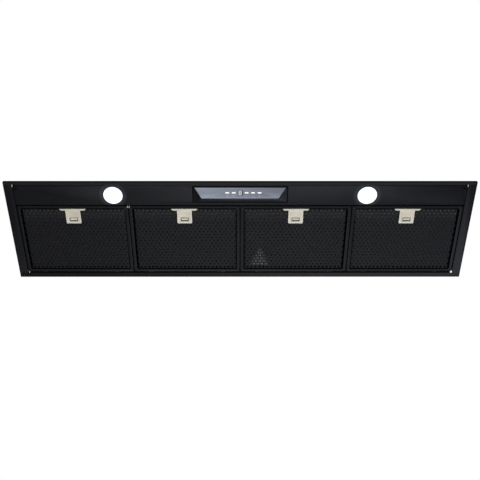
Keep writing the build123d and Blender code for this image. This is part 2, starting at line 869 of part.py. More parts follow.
with BuildPart() as led_driver:
    with BuildSketch(driver_plane):
        RectangleRounded(driver_length, driver_depth, driver_corner)
    extrude(amount=driver_height)
    chamfer(led_driver.faces().sort_by(Axis.Z)[-1].edges(), driver_chamfer)
    with BuildSketch(driver_plane):
        RectangleRounded(driver_length + 2 * driver_ear, driver_ear_width, driver_corner)
        with Locations((-driver_screw_shift, 0), (driver_screw_shift, 0)):
            Circle(screw_hole_radius, mode=Mode.SUBTRACT)
    extrude(amount=driver_ear_thickness)
led_driver.part.label = "led_driver"
export_step(led_driver.part, "parts/led_driver.step")

# Lamps: bezel under the fascia, barrel through it, fins on top, lens in the bezel
lens_radius = lens_diameter / 2
lens_face_z = fascia_face_z - bezel_height + lens_recess
fin_pitch = barrel_diameter / fin_count

for side, name in ((-1, "left"), (1, "right")):
    lamp_x = side * lamp_spacing
    with BuildPart() as lamp_body:
        with BuildSketch(Plane((lamp_x, lamp_y, fascia_face_z))):
            Circle(bezel_diameter / 2)
        extrude(amount=-bezel_height)
        chamfer(lamp_body.faces().sort_by(Axis.Z)[0].edges(), bezel_chamfer)
        with BuildSketch(Plane((lamp_x, lamp_y, fascia_face_z))):
            Circle(barrel_diameter / 2)
        extrude(amount=barrel_height)
        with BuildSketch(Plane((lamp_x, lamp_y, fascia_face_z + barrel_height))):
            with GridLocations(fin_pitch, 0, fin_count, 1):
                Rectangle(fin_thickness, barrel_diameter)
            Circle(barrel_diameter / 2, mode=Mode.INTERSECT)
        extrude(amount=fin_height)
        with BuildSketch(Plane((lamp_x, lamp_y, lens_face_z + lens_thickness))):
            Circle(lens_radius - barrel_wall)
        extrude(amount=barrel_height - 2 * barrel_wall, mode=Mode.SUBTRACT)
        with BuildSketch(Plane((lamp_x, lamp_y, fascia_face_z - bezel_height))):
            Circle(lens_radius + lamp_clearance)
        extrude(amount=lens_recess + lens_thickness, mode=Mode.SUBTRACT)
    lamp_body.part.label = f"lamp_body_{name}"
    export_step(lamp_body.part, f"parts/lamp_body_{name}.step")

with BuildPart() as lamp_lenses:
    with BuildSketch(Plane.XY.offset(lens_face_z)):
        with Locations((-lamp_spacing, lamp_y), (lamp_spacing, lamp_y)):
            Circle(lens_radius)
    extrude(amount=lens_thickness)
lamp_lenses.part.label = "lamp_lenses"
export_step(lamp_lenses.part, "parts/lamp_lenses.step")

# Control housing: hollow wedge with a low ridge, its front facet tilted to the cook,
# and a shadow seam round its foot
ridge_z = fascia_face_z - panel_drop
rear_run = panel_depth - ridge_run - ridge_flat
side_run = (panel_width - ridge_width) / 2
facet_length = math.hypot(ridge_run, panel_drop)
panel_plane = Plane(
    origin=(0, panel_front + ridge_run / 2, fascia_face_z - panel_drop / 2),
    x_dir=(1, 0, 0),
    z_dir=(0, -panel_drop, -ridge_run),
)


def wall_inset(run):
    """How far the inner face of a sloped wall starts inside the outer one."""
    return panel_wall * math.hypot(run, panel_drop) / panel_drop


def inner_ridge_inset(run):
    """How far the inner ridge stands inside the outer ridge on a sloped wall."""
    return wall_inset(run) - run * panel_wall / panel_drop


def facet_half_width(local_y):
    """Half width of the front facet at a height measured from its middle."""
    return ridge_width / 2 + side_run * (local_y / facet_length + 0.5)


face_reach = facet_length / 2 - face_margin
face_side_margin = face_margin * math.hypot(side_run, facet_length) / facet_length + face_margin
face_corners = [
    (-facet_half_width(-face_reach) + face_side_margin, -face_reach),
    (facet_half_width(-face_reach) - face_side_margin, -face_reach),
    (facet_half_width(face_reach) - face_side_margin, face_reach),
    (-facet_half_width(face_reach) + face_side_margin, face_reach),
]
button_centres = [(place * button_pitch, button_line) for place in button_places]
flange_back = -panel_wall - button_clearance - button_flange_thickness
board_face = flange_back - button_travel - button_clearance - switch_height
inner_front = panel_front + wall_inset(ridge_run)
inner_rear = panel_rear - wall_inset(rear_run)
inner_ridge_front = panel_front + ridge_run + inner_ridge_inset(ridge_run)
inner_ridge_rear = panel_front + ridge_run + ridge_flat - inner_ridge_inset(rear_run)
post_places = [
    (
        x_side * (board_width / 2 - board_post_inset_x),
        board_shift + y_side * (board_height / 2 - board_post_inset_y),
    )
    for x_side in (-1, 1)
    for y_side in (-1, 1)
]

with BuildPart() as control_housing:
    with BuildSketch(Plane.XY.offset(fascia_face_z)):
        band_from(panel_front, panel_rear, panel_width / 2)
    with BuildSketch(Plane.XY.offset(ridge_z)):
        band_from(panel_front + ridge_run, panel_front + ridge_run + ridge_flat, ridge_width / 2)
    loft()
    with BuildSketch(Plane.XY.offset(fascia_face_z)):
        band_from(inner_front, inner_rear, panel_width / 2 - wall_inset(side_run))
    with BuildSketch(Plane.XY.offset(ridge_z + panel_wall)):
        band_from(
            inner_ridge_front, inner_ridge_rear, ridge_width / 2 - inner_ridge_inset(side_run)
        )
    loft(mode=Mode.SUBTRACT)
    with BuildSketch(Plane.XY.offset(fascia_face_z)):
        band_from(panel_front, panel_rear, panel_width / 2)
        band_from(
            panel_front + panel_seam_depth,
            panel_rear - panel_seam_depth,
            panel_width / 2 - panel_seam_depth,
            Mode.SUBTRACT,
        )
    extrude(amount=-panel_seam_height, mode=Mode.SUBTRACT)
    with BuildSketch(Plane.XY.offset(fascia_face_z)):
        with Locations((0, panel_centre_y)):
            Rectangle(cutout_width - 2 * panel_rim_clearance, cutout_depth - 2 * panel_rim_clearance)
            Rectangle(
                cutout_width - 2 * (panel_rim_clearance + panel_rim_wall),
                cutout_depth - 2 * (panel_rim_clearance + panel_rim_wall),
                mode=Mode.SUBTRACT,
            )
    extrude(amount=panel_rim_height)
    with BuildSketch(panel_plane.offset(board_face)):
        with Locations(*post_places):
            Circle(board_post_radius)
    extrude(amount=-board_face - panel_wall + face_clearance)
    with BuildSketch(panel_plane):
        with BuildLine():
            Polyline(*face_corners, close=True)
        make_face()
        offset(amount=face_clearance, kind=Kind.INTERSECTION)
    extrude(amount=-face_pocket, mode=Mode.SUBTRACT)
    with BuildSketch(panel_plane):
        with Locations(*button_centres):
            SlotOverall(button_width + 2 * button_clearance, button_height + 2 * button_clearance)
        with Locations((0, button_line)):
            Rectangle(window_width - 2 * window_ledge, window_height - 2 * window_ledge)
    extrude(amount=-panel_wall - face_clearance, mode=Mode.SUBTRACT)
control_housing.part.label = "control_housing"
export_step(control_housing.part, "parts/control_housing.step")

with BuildPart() as control_face:
    with BuildSketch(panel_plane.offset(-face_pocket)):
        with BuildLine():
            Polyline(*face_corners, close=True)
        make_face()
        with Locations(*button_centres):
            SlotOverall(
                button_width + 2 * button_clearance,
                button_height + 2 * button_clearance,
                mode=Mode.SUBTRACT,
            )
        with Locations((0, button_line)):
            Rectangle(
                window_width + 2 * face_clearance,
                window_height + 2 * face_clearance,
                mode=Mode.SUBTRACT,
            )
    extrude(amount=face_thickness)
control_face.part.label = "control_face"
export_step(control_face.part, "parts/control_face.step")

with BuildPart() as display_window:
    with BuildSketch(panel_plane.offset(-face_pocket)):
        with Locations((0, button_line)):
            Rectangle(window_width, window_height)
    extrude(amount=face_thickness)
display_window.part.label = "display_window"
export_step(display_window.part, "parts/display_window.step")

with BuildPart() as control_board:
    with BuildSketch(panel_plane.offset(board_face)):
        with Locations((0, board_shift)):
            Rectangle(board_width, board_height)
    extrude(amount=-board_thickness)
    with BuildSketch(panel_plane.offset(board_face)):
        with Locations(*button_centres):
            Rectangle(switch_size, switch_size)
    extrude(amount=switch_height)
    with BuildSketch(panel_plane.offset(board_face)):
        with Locations((0, button_line)):
            Rectangle(digit_width, digit_height)
    extrude(amount=-board_face - face_pocket - face_clearance)
control_board.part.label = "control_board"
export_step(control_board.part, "parts/control_board.step")

face_top = face_thickness - face_pocket
for button_centre, name in zip(button_centres, button_names):
    with BuildPart() as button:
        with BuildSketch(panel_plane.offset(flange_back)):
            with Locations(button_centre):
                SlotOverall(button_width + 2 * button_flange, button_height + 2 * button_flange)
        extrude(amount=button_flange_thickness)
        with BuildSketch(panel_plane.offset(flange_back)):
            with Locations(button_centre):
                SlotOverall(button_width, button_height)
        extrude(amount=face_top + button_proud - flange_back)
    button.part.label = f"button_{name}"
    export_step(button.part, f"parts/button_{name}.step")

# Grease filters, each with its frame, honeycomb grille, crimped media and latch
frame_top = filter_face_z + filter_height
inside_width = filter_width - 2 * filter_sheet
inside_depth = filter_depth - 2 * filter_sheet
grille_width = inside_width - 2 * grille_clearance
grille_depth = inside_depth - 2 * grille_clearance
row_pitch = hexagon_pitch * math.sin(math.radians(60))
hexagon_radius = (hexagon_pitch - hexagon_web) / 2
grille_field_width = filter_width - 2 * grille_border
grille_field_depth = filter_depth - 2 * grille_border
row_count = int((grille_field_depth - 2 * hexagon_radius) / row_pitch) + 1
latch_front = filter_front + latch_start
latch_rear = latch_front + latch_length
stem_front = latch_front + latch_bar_depth
window_rear = latch_rear - latch_window_end
finger_tab_rear = window_rear - latch_travel - finger_tab_play
finger_tab_front = finger_tab_rear - finger_tab_length
window_front = finger_tab_front - finger_tab_front_gap
slider_start = filter_front + slider_front
slider_end = finger_tab_rear + slider_end_overhang
peg_rear = window_front - spring_play
peg_front = peg_rear - spring_peg_length
spring_start = peg_front - spring_play - spring_length
spring_slot_rear = peg_rear + spring_play
grille_cut_front = peg_front - grille_clearance
grille_cut_rear = window_rear + grille_clearance
grille_cut_centre = (grille_cut_front + grille_cut_rear) / 2
media_bottom = grille_top + media_bottom_gap
media_top = frame_top - filter_sheet - media_top_gap
media_half_width = grille_width / 2
wave_count = int((grille_width - media_crest) / media_pitch)


def latch_keepout(centre_x):
    """Rectangle that holds the latch stem and a margin, where the grille is left plain."""
    return centre_x, (stem_front + latch_rear) / 2, latch_width, latch_rear - stem_front


def hexagon_places(centre_x):
    """Middles of the grille holes, in staggered rows, clear of the latch."""
    keep_x, keep_y, keep_width, keep_depth = latch_keepout(centre_x)
    places = []
    for row in range(row_count):
        stagger = hexagon_pitch / 2 if row % 2 else 0
        y = filter_centre_y + row_pitch * (row - (row_count - 1) / 2)
        reach = int((grille_field_width / 2 - hexagon_radius - stagger) / hexagon_pitch)
        columns = [column * hexagon_pitch + stagger for column in range(-reach, reach + 1)]
        if stagger:
            columns.append(-(reach + 1) * hexagon_pitch + stagger)
        for x in columns:
            clear_x = abs(x) - keep_width / 2 > hexagon_radius
            clear_y = abs(y - keep_y) - keep_depth / 2 > hexagon_radius
            if clear_x or clear_y:
                places.append((keep_x + x, y))
    return places


media_line = [(-media_half_width, media_bottom)]
for wave in range(wave_count):
    wave_x = (wave - (wave_count - 1) / 2) * media_pitch
    media_line += [
        (wave_x - media_pitch / 2 + media_crest / 2, media_bottom),
        (wave_x - media_crest / 2, media_top - media_sheet),
        (wave_x + media_crest / 2, media_top - media_sheet),
        (wave_x + media_pitch / 2 - media_crest / 2, media_bottom),
    ]
media_line.append((media_half_width, media_bottom))
media_outline = media_line + [(x, z + media_sheet) for x, z in reversed(media_line)]

spring_step = spring_length / spring_folds
spring_line = [
    (spring_width / 2 * (1 if fold % 2 else -1), spring_start + fold * spring_step)
    for fold in range(spring_folds + 1)
]

for number, centre_x in enumerate(filter_centres, start=1):
    filter_origin = Plane((centre_x, 0, 0))
    with BuildPart() as filter_frame:
        with BuildSketch(filter_origin.offset(filter_face_z)):
            with Locations((0, filter_centre_y)):
                Rectangle(filter_width, filter_depth)
                RectangleRounded(
                    filter_width - 2 * bottom_lip,
                    filter_depth - 2 * bottom_lip,
                    lip_corner,
                    mode=Mode.SUBTRACT,
                )
        extrude(amount=filter_sheet)
        with BuildSketch(filter_origin.offset(filter_face_z)):
            with Locations((0, filter_centre_y)):
                Rectangle(filter_width, filter_depth)
                Rectangle(inside_width, inside_depth, mode=Mode.SUBTRACT)
        extrude(amount=filter_height)
        with BuildSketch(filter_origin.offset(frame_top - filter_sheet)):
            with Locations((0, filter_centre_y)):
                Rectangle(filter_width, filter_depth)
                Rectangle(
                    filter_width - 2 * top_lip, filter_depth - 2 * top_lip, mode=Mode.SUBTRACT
                )
        extrude(amount=filter_sheet)
        with BuildSketch(filter_origin.offset(filter_face_z)):
            with Locations(*[
                (side * hinge_tab_spacing / 2, (filter_rear - filter_sheet + hinge_y + hinge_tab_reach) / 2)
                for side in (-1, 1)
            ]):
                Rectangle(hinge_tab_width, hinge_y + hinge_tab_reach - filter_rear + filter_sheet)
        extrude(amount=hinge_tab_thickness)
        with BuildSketch(upright_plane(filter_front + filter_sheet)):
            with Locations((centre_x, latch_slot_z)):
                Rectangle(latch_slot_width, latch_slot_height)
        extrude(amount=filter_sheet, mode=Mode.SUBTRACT)
    filter_frame.part.label = f"filter_frame_{number}"
    export_step(filter_frame.part, f"parts/filter_frame_{number}.step")

    with BuildPart() as filter_grille:
        with BuildSketch(Plane.XY.offset(grille_z)):
            with Locations((centre_x, filter_centre_y)):
                Rectangle(grille_width, grille_depth)
            with Locations((centre_x, grille_cut_centre)):
                Rectangle(
                    latch_window_width, grille_cut_rear - grille_cut_front, mode=Mode.SUBTRACT
                )
            with Locations(*hexagon_places(centre_x)):
                RegularPolygon(
                    hexagon_radius, 6, major_radius=False, rotation=30, mode=Mode.SUBTRACT
                )
        extrude(amount=grille_sheet)
    filter_grille.part.label = f"filter_grille_{number}"
    export_step(filter_grille.part, f"parts/filter_grille_{number}.step")

    with BuildPart() as filter_media:
        with BuildSketch(upright_plane(filter_centre_y + grille_depth / 2)):
            with BuildLine():
                Polyline(*[(centre_x + x, z) for x, z in media_outline], close=True)
            make_face()
        extrude(amount=grille_depth)
    filter_media.part.label = f"filter_media_{number}"
    export_step(filter_media.part, f"parts/filter_media_{number}.step")

    with BuildPart() as latch_body:
        with BuildSketch(filter_origin.offset(flange_face_z)):
            with BuildLine():
                Polyline(
                    (-latch_bar_width / 2, latch_front),
                    (latch_bar_width / 2, latch_front),
                    (latch_bar_width / 2, latch_front + latch_bar_tip),
                    (latch_bar_width / 2 - latch_bar_taper, stem_front),
                    (-latch_bar_width / 2 + latch_bar_taper, stem_front),
                    (-latch_bar_width / 2, latch_front + latch_bar_tip),
                    close=True,
                )
            make_face()
        extrude(amount=filter_recess)
        with BuildSketch(filter_origin.offset(flange_face_z)):
            with Locations((0, (stem_front + latch_rear) / 2)):
                Rectangle(latch_width, latch_rear - stem_front)
        extrude(amount=grille_z - flange_face_z)
        fillet(latch_body.edges().filter_by(Axis.Z).group_by(Axis.Y)[-1], latch_corner)
        with BuildSketch(filter_origin.offset(flange_face_z + latch_face)):
            with Locations((0, (stem_front + latch_rear) / 2)):
                Rectangle(latch_width - 2 * latch_wall, latch_rear - stem_front - 2 * latch_wall)
        extrude(amount=grille_z - flange_face_z - latch_face, mode=Mode.SUBTRACT)
        with BuildSketch(filter_origin.offset(flange_face_z)):
            with Locations((0, (stem_front + latch_rear) / 2)):
                RectangleRounded(
                    latch_width - 2 * latch_panel_border,
                    latch_rear - stem_front - 2 * latch_panel_border,
                    latch_panel_corner,
                )
        extrude(amount=latch_panel_recess, mode=Mode.SUBTRACT)
        with BuildSketch(filter_origin.offset(flange_face_z)):
            band_from(window_front, window_rear, latch_window_width / 2)
        extrude(amount=latch_face, mode=Mode.SUBTRACT)
        with BuildSketch(filter_origin.offset(flange_face_z + latch_panel_recess)):
            with Locations((0, (peg_front + peg_rear) / 2)):
                Rectangle(spring_peg_width, spring_peg_length)
        extrude(amount=slider_z + 2 * slider_sheet - flange_face_z - latch_panel_recess)
    latch_body.part.label = f"latch_body_{number}"
    export_step(latch_body.part, f"parts/latch_body_{number}.step")

    with BuildPart() as latch_slider:
        with BuildSketch(filter_origin.offset(slider_z)):
            with Locations((0, (slider_start + slider_end) / 2)):
                Rectangle(slider_width, slider_end - slider_start)
            with Locations((0, (tongue_tip + slider_start) / 2)):
                Rectangle(tongue_width, slider_start - tongue_tip)
            with Locations((0, (spring_start + spring_slot_rear) / 2)):
                Rectangle(
                    spring_width + 2 * spring_play + spring_strip,
                    spring_slot_rear - spring_start + 2 * spring_play,
                    mode=Mode.SUBTRACT,
                )
        extrude(amount=slider_sheet)
        with BuildSketch(filter_origin.offset(slider_z)):
            band_from(finger_tab_front, finger_tab_rear, finger_tab_width / 2)
        extrude(amount=flange_face_z + finger_tab_shy - slider_z)
    latch_slider.part.label = f"latch_slider_{number}"
    export_step(latch_slider.part, f"parts/latch_slider_{number}.step")

    with BuildPart() as latch_spring:
        with BuildSketch(filter_origin.offset(slider_z)):
            with BuildLine():
                Polyline(*spring_line)
            trace(line_width=spring_strip)
        extrude(amount=slider_sheet)
    latch_spring.part.label = f"latch_spring_{number}"
    export_step(latch_spring.part, f"parts/latch_spring_{number}.step")

# Screws, each with the place of its head and its length
screw_places = [
    (Plane((x, y, fascia_face_z), z_dir=(0, 0, -1)), fascia_screw_length)
    for x, y in fascia_screw_places
]
screw_places += [(Plane((x, y, body_top + sheet)), screw_length) for x, y in housing_screw_places]
screw_places += [
    (Plane((x, y, body_top + terminal_wall)), screw_length) for x, y in terminal_screw_places
]
screw_places += [
    (Plane((x, y, body_top + driver_ear_thickness)), screw_length) for x, y in driver_screw_places
]
screw_places += [
    (
        Plane((
            spigot_screw_radius * math.cos(math.radians(angle)),
            housing_centre_y + spigot_screw_radius * math.sin(math.radians(angle)),
            housing_top + spigot_flange_thickness,
        )),
        screw_length,
    )
    for angle in (0, 90, 180, 270)
]

with BuildPart() as body_screws:
    for seat, length in screw_places:
        with BuildSketch(seat):
            Circle(screw_head_radius)
        extrude(amount=screw_head_height)
        with BuildSketch(seat):
            Circle(screw_shank_radius)
        extrude(amount=-length)
body_screws.part.label = "body_screws"
export_step(body_screws.part, "parts/body_screws.step")
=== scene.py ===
import json
import math
import random

import bmesh
import bpy
from mathutils import Matrix, Vector

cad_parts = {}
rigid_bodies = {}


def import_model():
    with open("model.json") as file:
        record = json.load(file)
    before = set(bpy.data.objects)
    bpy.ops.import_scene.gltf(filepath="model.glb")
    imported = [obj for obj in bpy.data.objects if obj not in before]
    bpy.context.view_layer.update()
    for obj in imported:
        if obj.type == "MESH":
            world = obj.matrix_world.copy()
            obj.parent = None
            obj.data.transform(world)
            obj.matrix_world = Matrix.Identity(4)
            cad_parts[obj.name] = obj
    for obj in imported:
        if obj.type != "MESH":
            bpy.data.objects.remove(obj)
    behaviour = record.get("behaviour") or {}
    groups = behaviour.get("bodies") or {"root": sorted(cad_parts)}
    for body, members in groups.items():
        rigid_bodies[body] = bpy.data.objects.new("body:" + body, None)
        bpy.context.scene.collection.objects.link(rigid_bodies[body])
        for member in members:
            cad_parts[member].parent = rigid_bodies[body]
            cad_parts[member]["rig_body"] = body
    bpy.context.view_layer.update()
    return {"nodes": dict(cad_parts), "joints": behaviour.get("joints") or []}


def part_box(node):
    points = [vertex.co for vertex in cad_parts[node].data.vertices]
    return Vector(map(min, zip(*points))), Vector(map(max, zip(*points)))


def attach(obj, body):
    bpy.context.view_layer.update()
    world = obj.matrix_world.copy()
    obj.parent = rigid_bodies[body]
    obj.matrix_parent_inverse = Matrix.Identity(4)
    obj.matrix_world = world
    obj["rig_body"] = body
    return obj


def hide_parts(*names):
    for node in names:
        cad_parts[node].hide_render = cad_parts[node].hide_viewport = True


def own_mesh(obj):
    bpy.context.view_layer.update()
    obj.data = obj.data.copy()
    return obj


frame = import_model()
nodes = frame["nodes"]
joints = {joint["name"]: joint for joint in frame["joints"]}
rng = random.Random(7)
MM = 0.001
ROOT = "hood"
SIDES = ("left", "right")
FILTERS = (1, 2, 3, 4)
BUTTONS = ("timer", "light", "down", "up", "power")


# Places in mm, worked out from the frame
def span(node, axis):
    """Both ends of a CAD node along an axis."""
    return tuple(round(corner["XYZ".index(axis)] / MM, 3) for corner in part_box(node))


def middle(node, axis):
    return sum(span(node, axis)) / 2


def centre(node):
    return Vector([middle(node, axis) for axis in "XYZ"])


CANOPY_HALF = span("canopy_frame", "X")[1]
CANOPY_FRONT, CANOPY_REAR = span("canopy_frame", "Y")
FASCIA_FACE_Z = span("front_fascia", "Z")[0]
LAMP_X, LAMP_Y = middle("lamp_body_right", "X"), middle("lamp_body_right", "Y")
FILTER_PITCH = middle("filter_grille_3", "X") - middle("filter_grille_2", "X")
FILTER_FRONT = span("filter_frame_3", "Y")[0]
LATCH_FACE_Z = span("latch_body_1", "Z")[0]

# Fine sheet of a filter, inside the CAD grille, and the lines its gutter is measured from
SHEET_INSET = 4.4
SHEET_HALF = span("filter_grille_3", "X")[1] - middle("filter_grille_3", "X") - SHEET_INSET
SHEET_FRONT = span("filter_grille_3", "Y")[0] + SHEET_INSET
SHEET_REAR = span("filter_grille_3", "Y")[1] - SHEET_INSET
SHEET_Z = span("filter_grille_3", "Z")[1] - 0.05
GUTTER_HALF = SHEET_HALF - 2.0
GUTTER_FRONT = SHEET_FRONT + 2.0
GUTTER_REAR = SHEET_REAR + 0.5
HEX_PITCH = 10.5
HEX_ROW_PITCH = HEX_PITCH * math.sqrt(3) / 2
HOLE_ROW_Y = 30.0

# Plane of the control face, which the buttons are pressed into
PANEL_OUT = -Vector(joints["button_power_press"]["axis"]).normalized()
PANEL_UP = PANEL_OUT.cross(Vector((1, 0, 0)))
PANEL_MIDDLE = centre("control_face")
PRINT_OUT = 0.48
PRINT_DEPTH = 0.05
ICON_LINE = -8.6


# Camera, at the photograph's place below and in front of the hood
def add_camera():
    place = (-0.0042, -1.0151, -1.6083)
    heading, tilt, roll = -0.215, 90 + 56.957, -0.191
    data = bpy.data.cameras.new("camera")
    data.sensor_width = 36
    data.lens = 55.40
    camera = bpy.data.objects.new("camera", data)
    bpy.context.scene.collection.objects.link(camera)
    turn = Matrix.Identity(4)
    for degrees, axis in ((heading, "Z"), (tilt, "X"), (roll, "Z")):
        turn = turn @ Matrix.Rotation(math.radians(degrees), 4, axis)
    camera.matrix_world = Matrix.Translation(place) @ turn
    bpy.context.scene.camera = camera


class Paint:
    """A material with a Principled shader and short ways to add procedural texture to it."""

    def __init__(self, name, colour, rough, metallic=0.0, specular=0.5):
        self.material = bpy.data.materials.new(name)
        self.material.use_nodes = True
        self.tree = self.material.node_tree
        self.shader = self.tree.nodes["Principled BSDF"]
        self.colour = colour
        self.specular = specular
        self.set("Base Color", (*colour, 1))
        self.set("Roughness", rough)
        self.set("Metallic", metallic)
        self.set("Specular IOR Level", specular)
        self.where = self.add("ShaderNodeTexCoord").outputs["Object"]
        split = self.add("ShaderNodeSeparateXYZ")
        self.link(self.where, split.inputs["Vector"])
        self.place = split.outputs

    def add(self, kind, **settings):
        node = self.tree.nodes.new(kind)
        for key, value in settings.items():
            setattr(node, key, value)
        return node

    def link(self, source, target):
        self.tree.links.new(source, target)

    def set(self, socket, value):
        """Give a socket of the shader a constant or another node's output."""
        if isinstance(value, bpy.types.NodeSocket):
            self.link(value, self.shader.inputs[socket])
        else:
            self.shader.inputs[socket].default_value = value

    # Textures
    def noise(self, scale, detail=3.0, rough=0.5, stretch=(1, 1, 1)):
        mapping = self.add("ShaderNodeMapping")
        mapping.inputs["Scale"].default_value = stretch
        self.link(self.where, mapping.inputs["Vector"])
        node = self.add("ShaderNodeTexNoise")
        node.inputs["Scale"].default_value = scale
        node.inputs["Detail"].default_value = detail
        node.inputs["Roughness"].default_value = rough
        self.link(mapping.outputs["Vector"], node.inputs["Vector"])
        return node.outputs["Fac"]

    def crystals(self, scale):
        """Cells with two independent random levels each."""
        node = self.add("ShaderNodeTexVoronoi")
        node.inputs["Scale"].default_value = scale
        self.link(self.where, node.inputs["Vector"])
        split = self.add("ShaderNodeSeparateColor")
        self.link(node.outputs["Color"], split.inputs["Color"])
        return split.outputs["Red"], split.outputs["Green"]

    def wave(self, scale, direction, distortion):
        node = self.add("ShaderNodeTexWave", bands_direction=direction)
        node.inputs["Scale"].default_value = scale
        node.inputs["Distortion"].default_value = distortion
        self.link(self.where, node.inputs["Vector"])
        return node.outputs["Fac"]

    # Numbers
    def math(self, operation, *values):
        """Result of an operation; with more than two values it takes them in turn."""
        node = self.add("ShaderNodeMath", operation=operation)
        for socket, value in zip(node.inputs, values):
            if isinstance(value, (int, float)):
                socket.default_value = value
            else:
                self.link(value, socket)
        result = node.outputs["Value"]
        return self.math(operation, result, *values[2:]) if len(values) > 2 else result

    def remap(self, value, low, high, to_low=0.0, to_high=1.0, smooth=False):
        node = self.add("ShaderNodeMapRange")
        if smooth:
            node.interpolation_type = "SMOOTHSTEP"
        self.link(value, node.inputs["Value"])
        names = ("From Min", "From Max", "To Min", "To Max")
        for name, number in zip(names, (low, high, to_low, to_high)):
            node.inputs[name].default_value = number
        return node.outputs["Result"]

    def mix(self, factor, first, second):
        """Number between two others, which are outputs or constants."""
        change = self.math("SUBTRACT", second, first)
        return self.math("ADD", first, self.math("MULTIPLY", factor, change))

    # Places, given in mm; distances that come out are in metres
    def fade(self, axis, start, end, first=0.0, last=1.0, smooth=False):
        """Number that goes from first to last between two places along an axis."""
        return self.remap(self.place[axis], start * MM, end * MM, first, last, smooth)

    def away(self, axis, place):
        """Distance from a place along an axis, to either side."""
        return self.math("ABSOLUTE", self.math("SUBTRACT", self.place[axis], place * MM))

    def inside(self, across, along):
        """Distance from the edges of a rectangle given by its ends, positive inside it."""
        return self.math("MINIMUM", *[
            self.math("SUBTRACT", (high - low) / 2 * MM, self.away(axis, (low + high) / 2))
            for axis, (low, high) in (("X", across), ("Y", along))
        ])

    def near(self, x, y, full, gone):
        """1 within the first distance of a point, fading to 0 at the second."""
        squares = []
        for axis, place in (("X", x), ("Y", y)):
            distance = self.away(axis, place)
            squares.append(self.math("MULTIPLY", distance, distance))
        distance = self.math("SQRT", self.math("ADD", *squares))
        return self.remap(distance, full * MM, gone * MM, 1.0, 0.0, smooth=True)

    # Colour and surface
    def blend(self, factor, first, second):
        """Mix of two colours, each a tuple or an output."""
        node = self.add("ShaderNodeMix", data_type="RGBA")
        self.link(factor, node.inputs["Factor"])
        sockets = {socket.identifier: socket for socket in (*node.inputs, *node.outputs)}
        for name, value in (("A_Color", first), ("B_Color", second)):
            if isinstance(value, tuple):
                sockets[name].default_value = (*value, 1)
            else:
                self.link(value, sockets[name])
        return sockets["Result_Color"]

    def base(self):
        return self.shader.inputs["Base Color"].links[0].from_socket

    def vary(self, factor, low, high):
        """Base colour between two multiples of the plain one."""
        dark = tuple(part * low for part in self.colour)
        light = tuple(min(part * high, 1.0) for part in self.colour)
        self.set("Base Color", self.blend(factor, dark, light))

    def cover(self, factor, colour):
        """Another colour over the base where the factor is 1."""
        self.set("Base Color", self.blend(factor, self.base(), colour))

    def shade(self, factor, floor):
        """Base colour and specular in full where the factor is 1, down to the floor where it is 0."""
        dark = tuple(part * floor for part in self.colour)
        self.set("Base Color", self.blend(factor, dark, self.base()))
        shine = self.remap(factor, 0, 1, self.specular * floor, self.specular)
        self.set("Specular IOR Level", shine)

    def gloss(self, factor, low, high):
        self.set("Roughness", self.remap(factor, 0, 1, low, high))

    def bump(self, factor, depth):
        """Relief of that depth in mm."""
        node = self.add("ShaderNodeBump")
        node.inputs["Distance"].default_value = depth * MM
        node.inputs["Strength"].default_value = 1.0
        self.link(factor, node.inputs["Height"])
        self.set("Normal", node.outputs["Normal"])


# Kinds of surface that several materials share
BLACK_COAT = (0.004, 0.004, 0.005)


def coated(name, colour, rough, specular):
    """Powder coat: cloudy shade, uneven gloss and orange peel."""
    paint = Paint(name, colour, rough, specular=specular)
    paint.vary(paint.noise(9, 4, 0.6), 0.75, 1.3)
    paint.gloss(paint.noise(14, 4, 0.6), rough - 0.06, rough + 0.1)
    paint.bump(paint.noise(900, 2, 0.5), 0.03)
    return paint


def moulded(name, colour, rough=0.45, specular=0.4, grain=0.02):
    """Moulded plastic with a fine grain."""
    paint = Paint(name, colour, rough, specular=specular)
    paint.vary(paint.noise(30, 3, 0.5), 0.88, 1.12)
    paint.gloss(paint.noise(60, 3, 0.6), rough - 0.05, rough + 0.08)
    paint.bump(paint.noise(1500, 2, 0.6), grain)
    return paint


def plated(name, colour, rough, brush=(1, 1, 1), depth=0.006, worn=0.12):
    """Bare or plated metal with a brushed grain."""
    paint = Paint(name, colour, rough, metallic=1.0)
    paint.vary(paint.noise(25, 4, 0.6), 1 - worn, 1 + worn)
    grain = paint.noise(500, 4, 0.7, brush)
    paint.gloss(grain, rough - 0.06, rough + 0.1)
    paint.bump(grain, depth)
    return paint


def across_filter(paint):
    """Distance in metres from the middle of the nearest filter, positive to its right."""
    turns = paint.math("FRACT", paint.math("DIVIDE", paint.place["X"], FILTER_PITCH * MM))
    return paint.math("MULTIPLY", paint.math("SUBTRACT", turns, 0.5), FILTER_PITCH * MM)


def off_gutter(paint, front_gap):
    """Mask for painted shade: 0 in the gutter along each filter's frame, 1 off it; narrow on the side
    towards the middle.
    """
    narrowing = 2.5
    full_shade_below, no_shade_above = 3.5, 6
    outward = paint.math("MULTIPLY", across_filter(paint), paint.math("SIGN", paint.place["X"]))
    edge = paint.math(
        "MINIMUM",
        paint.math("SUBTRACT", GUTTER_HALF * MM, outward),
        paint.math("ADD", (GUTTER_HALF + narrowing) * MM, outward),
        paint.math("SUBTRACT", paint.place["Y"], (GUTTER_FRONT - front_gap) * MM),
        paint.math("SUBTRACT", GUTTER_REAR * MM, paint.place["Y"]),
    )
    return paint.remap(edge, full_shade_below * MM, no_shade_above * MM, smooth=True)


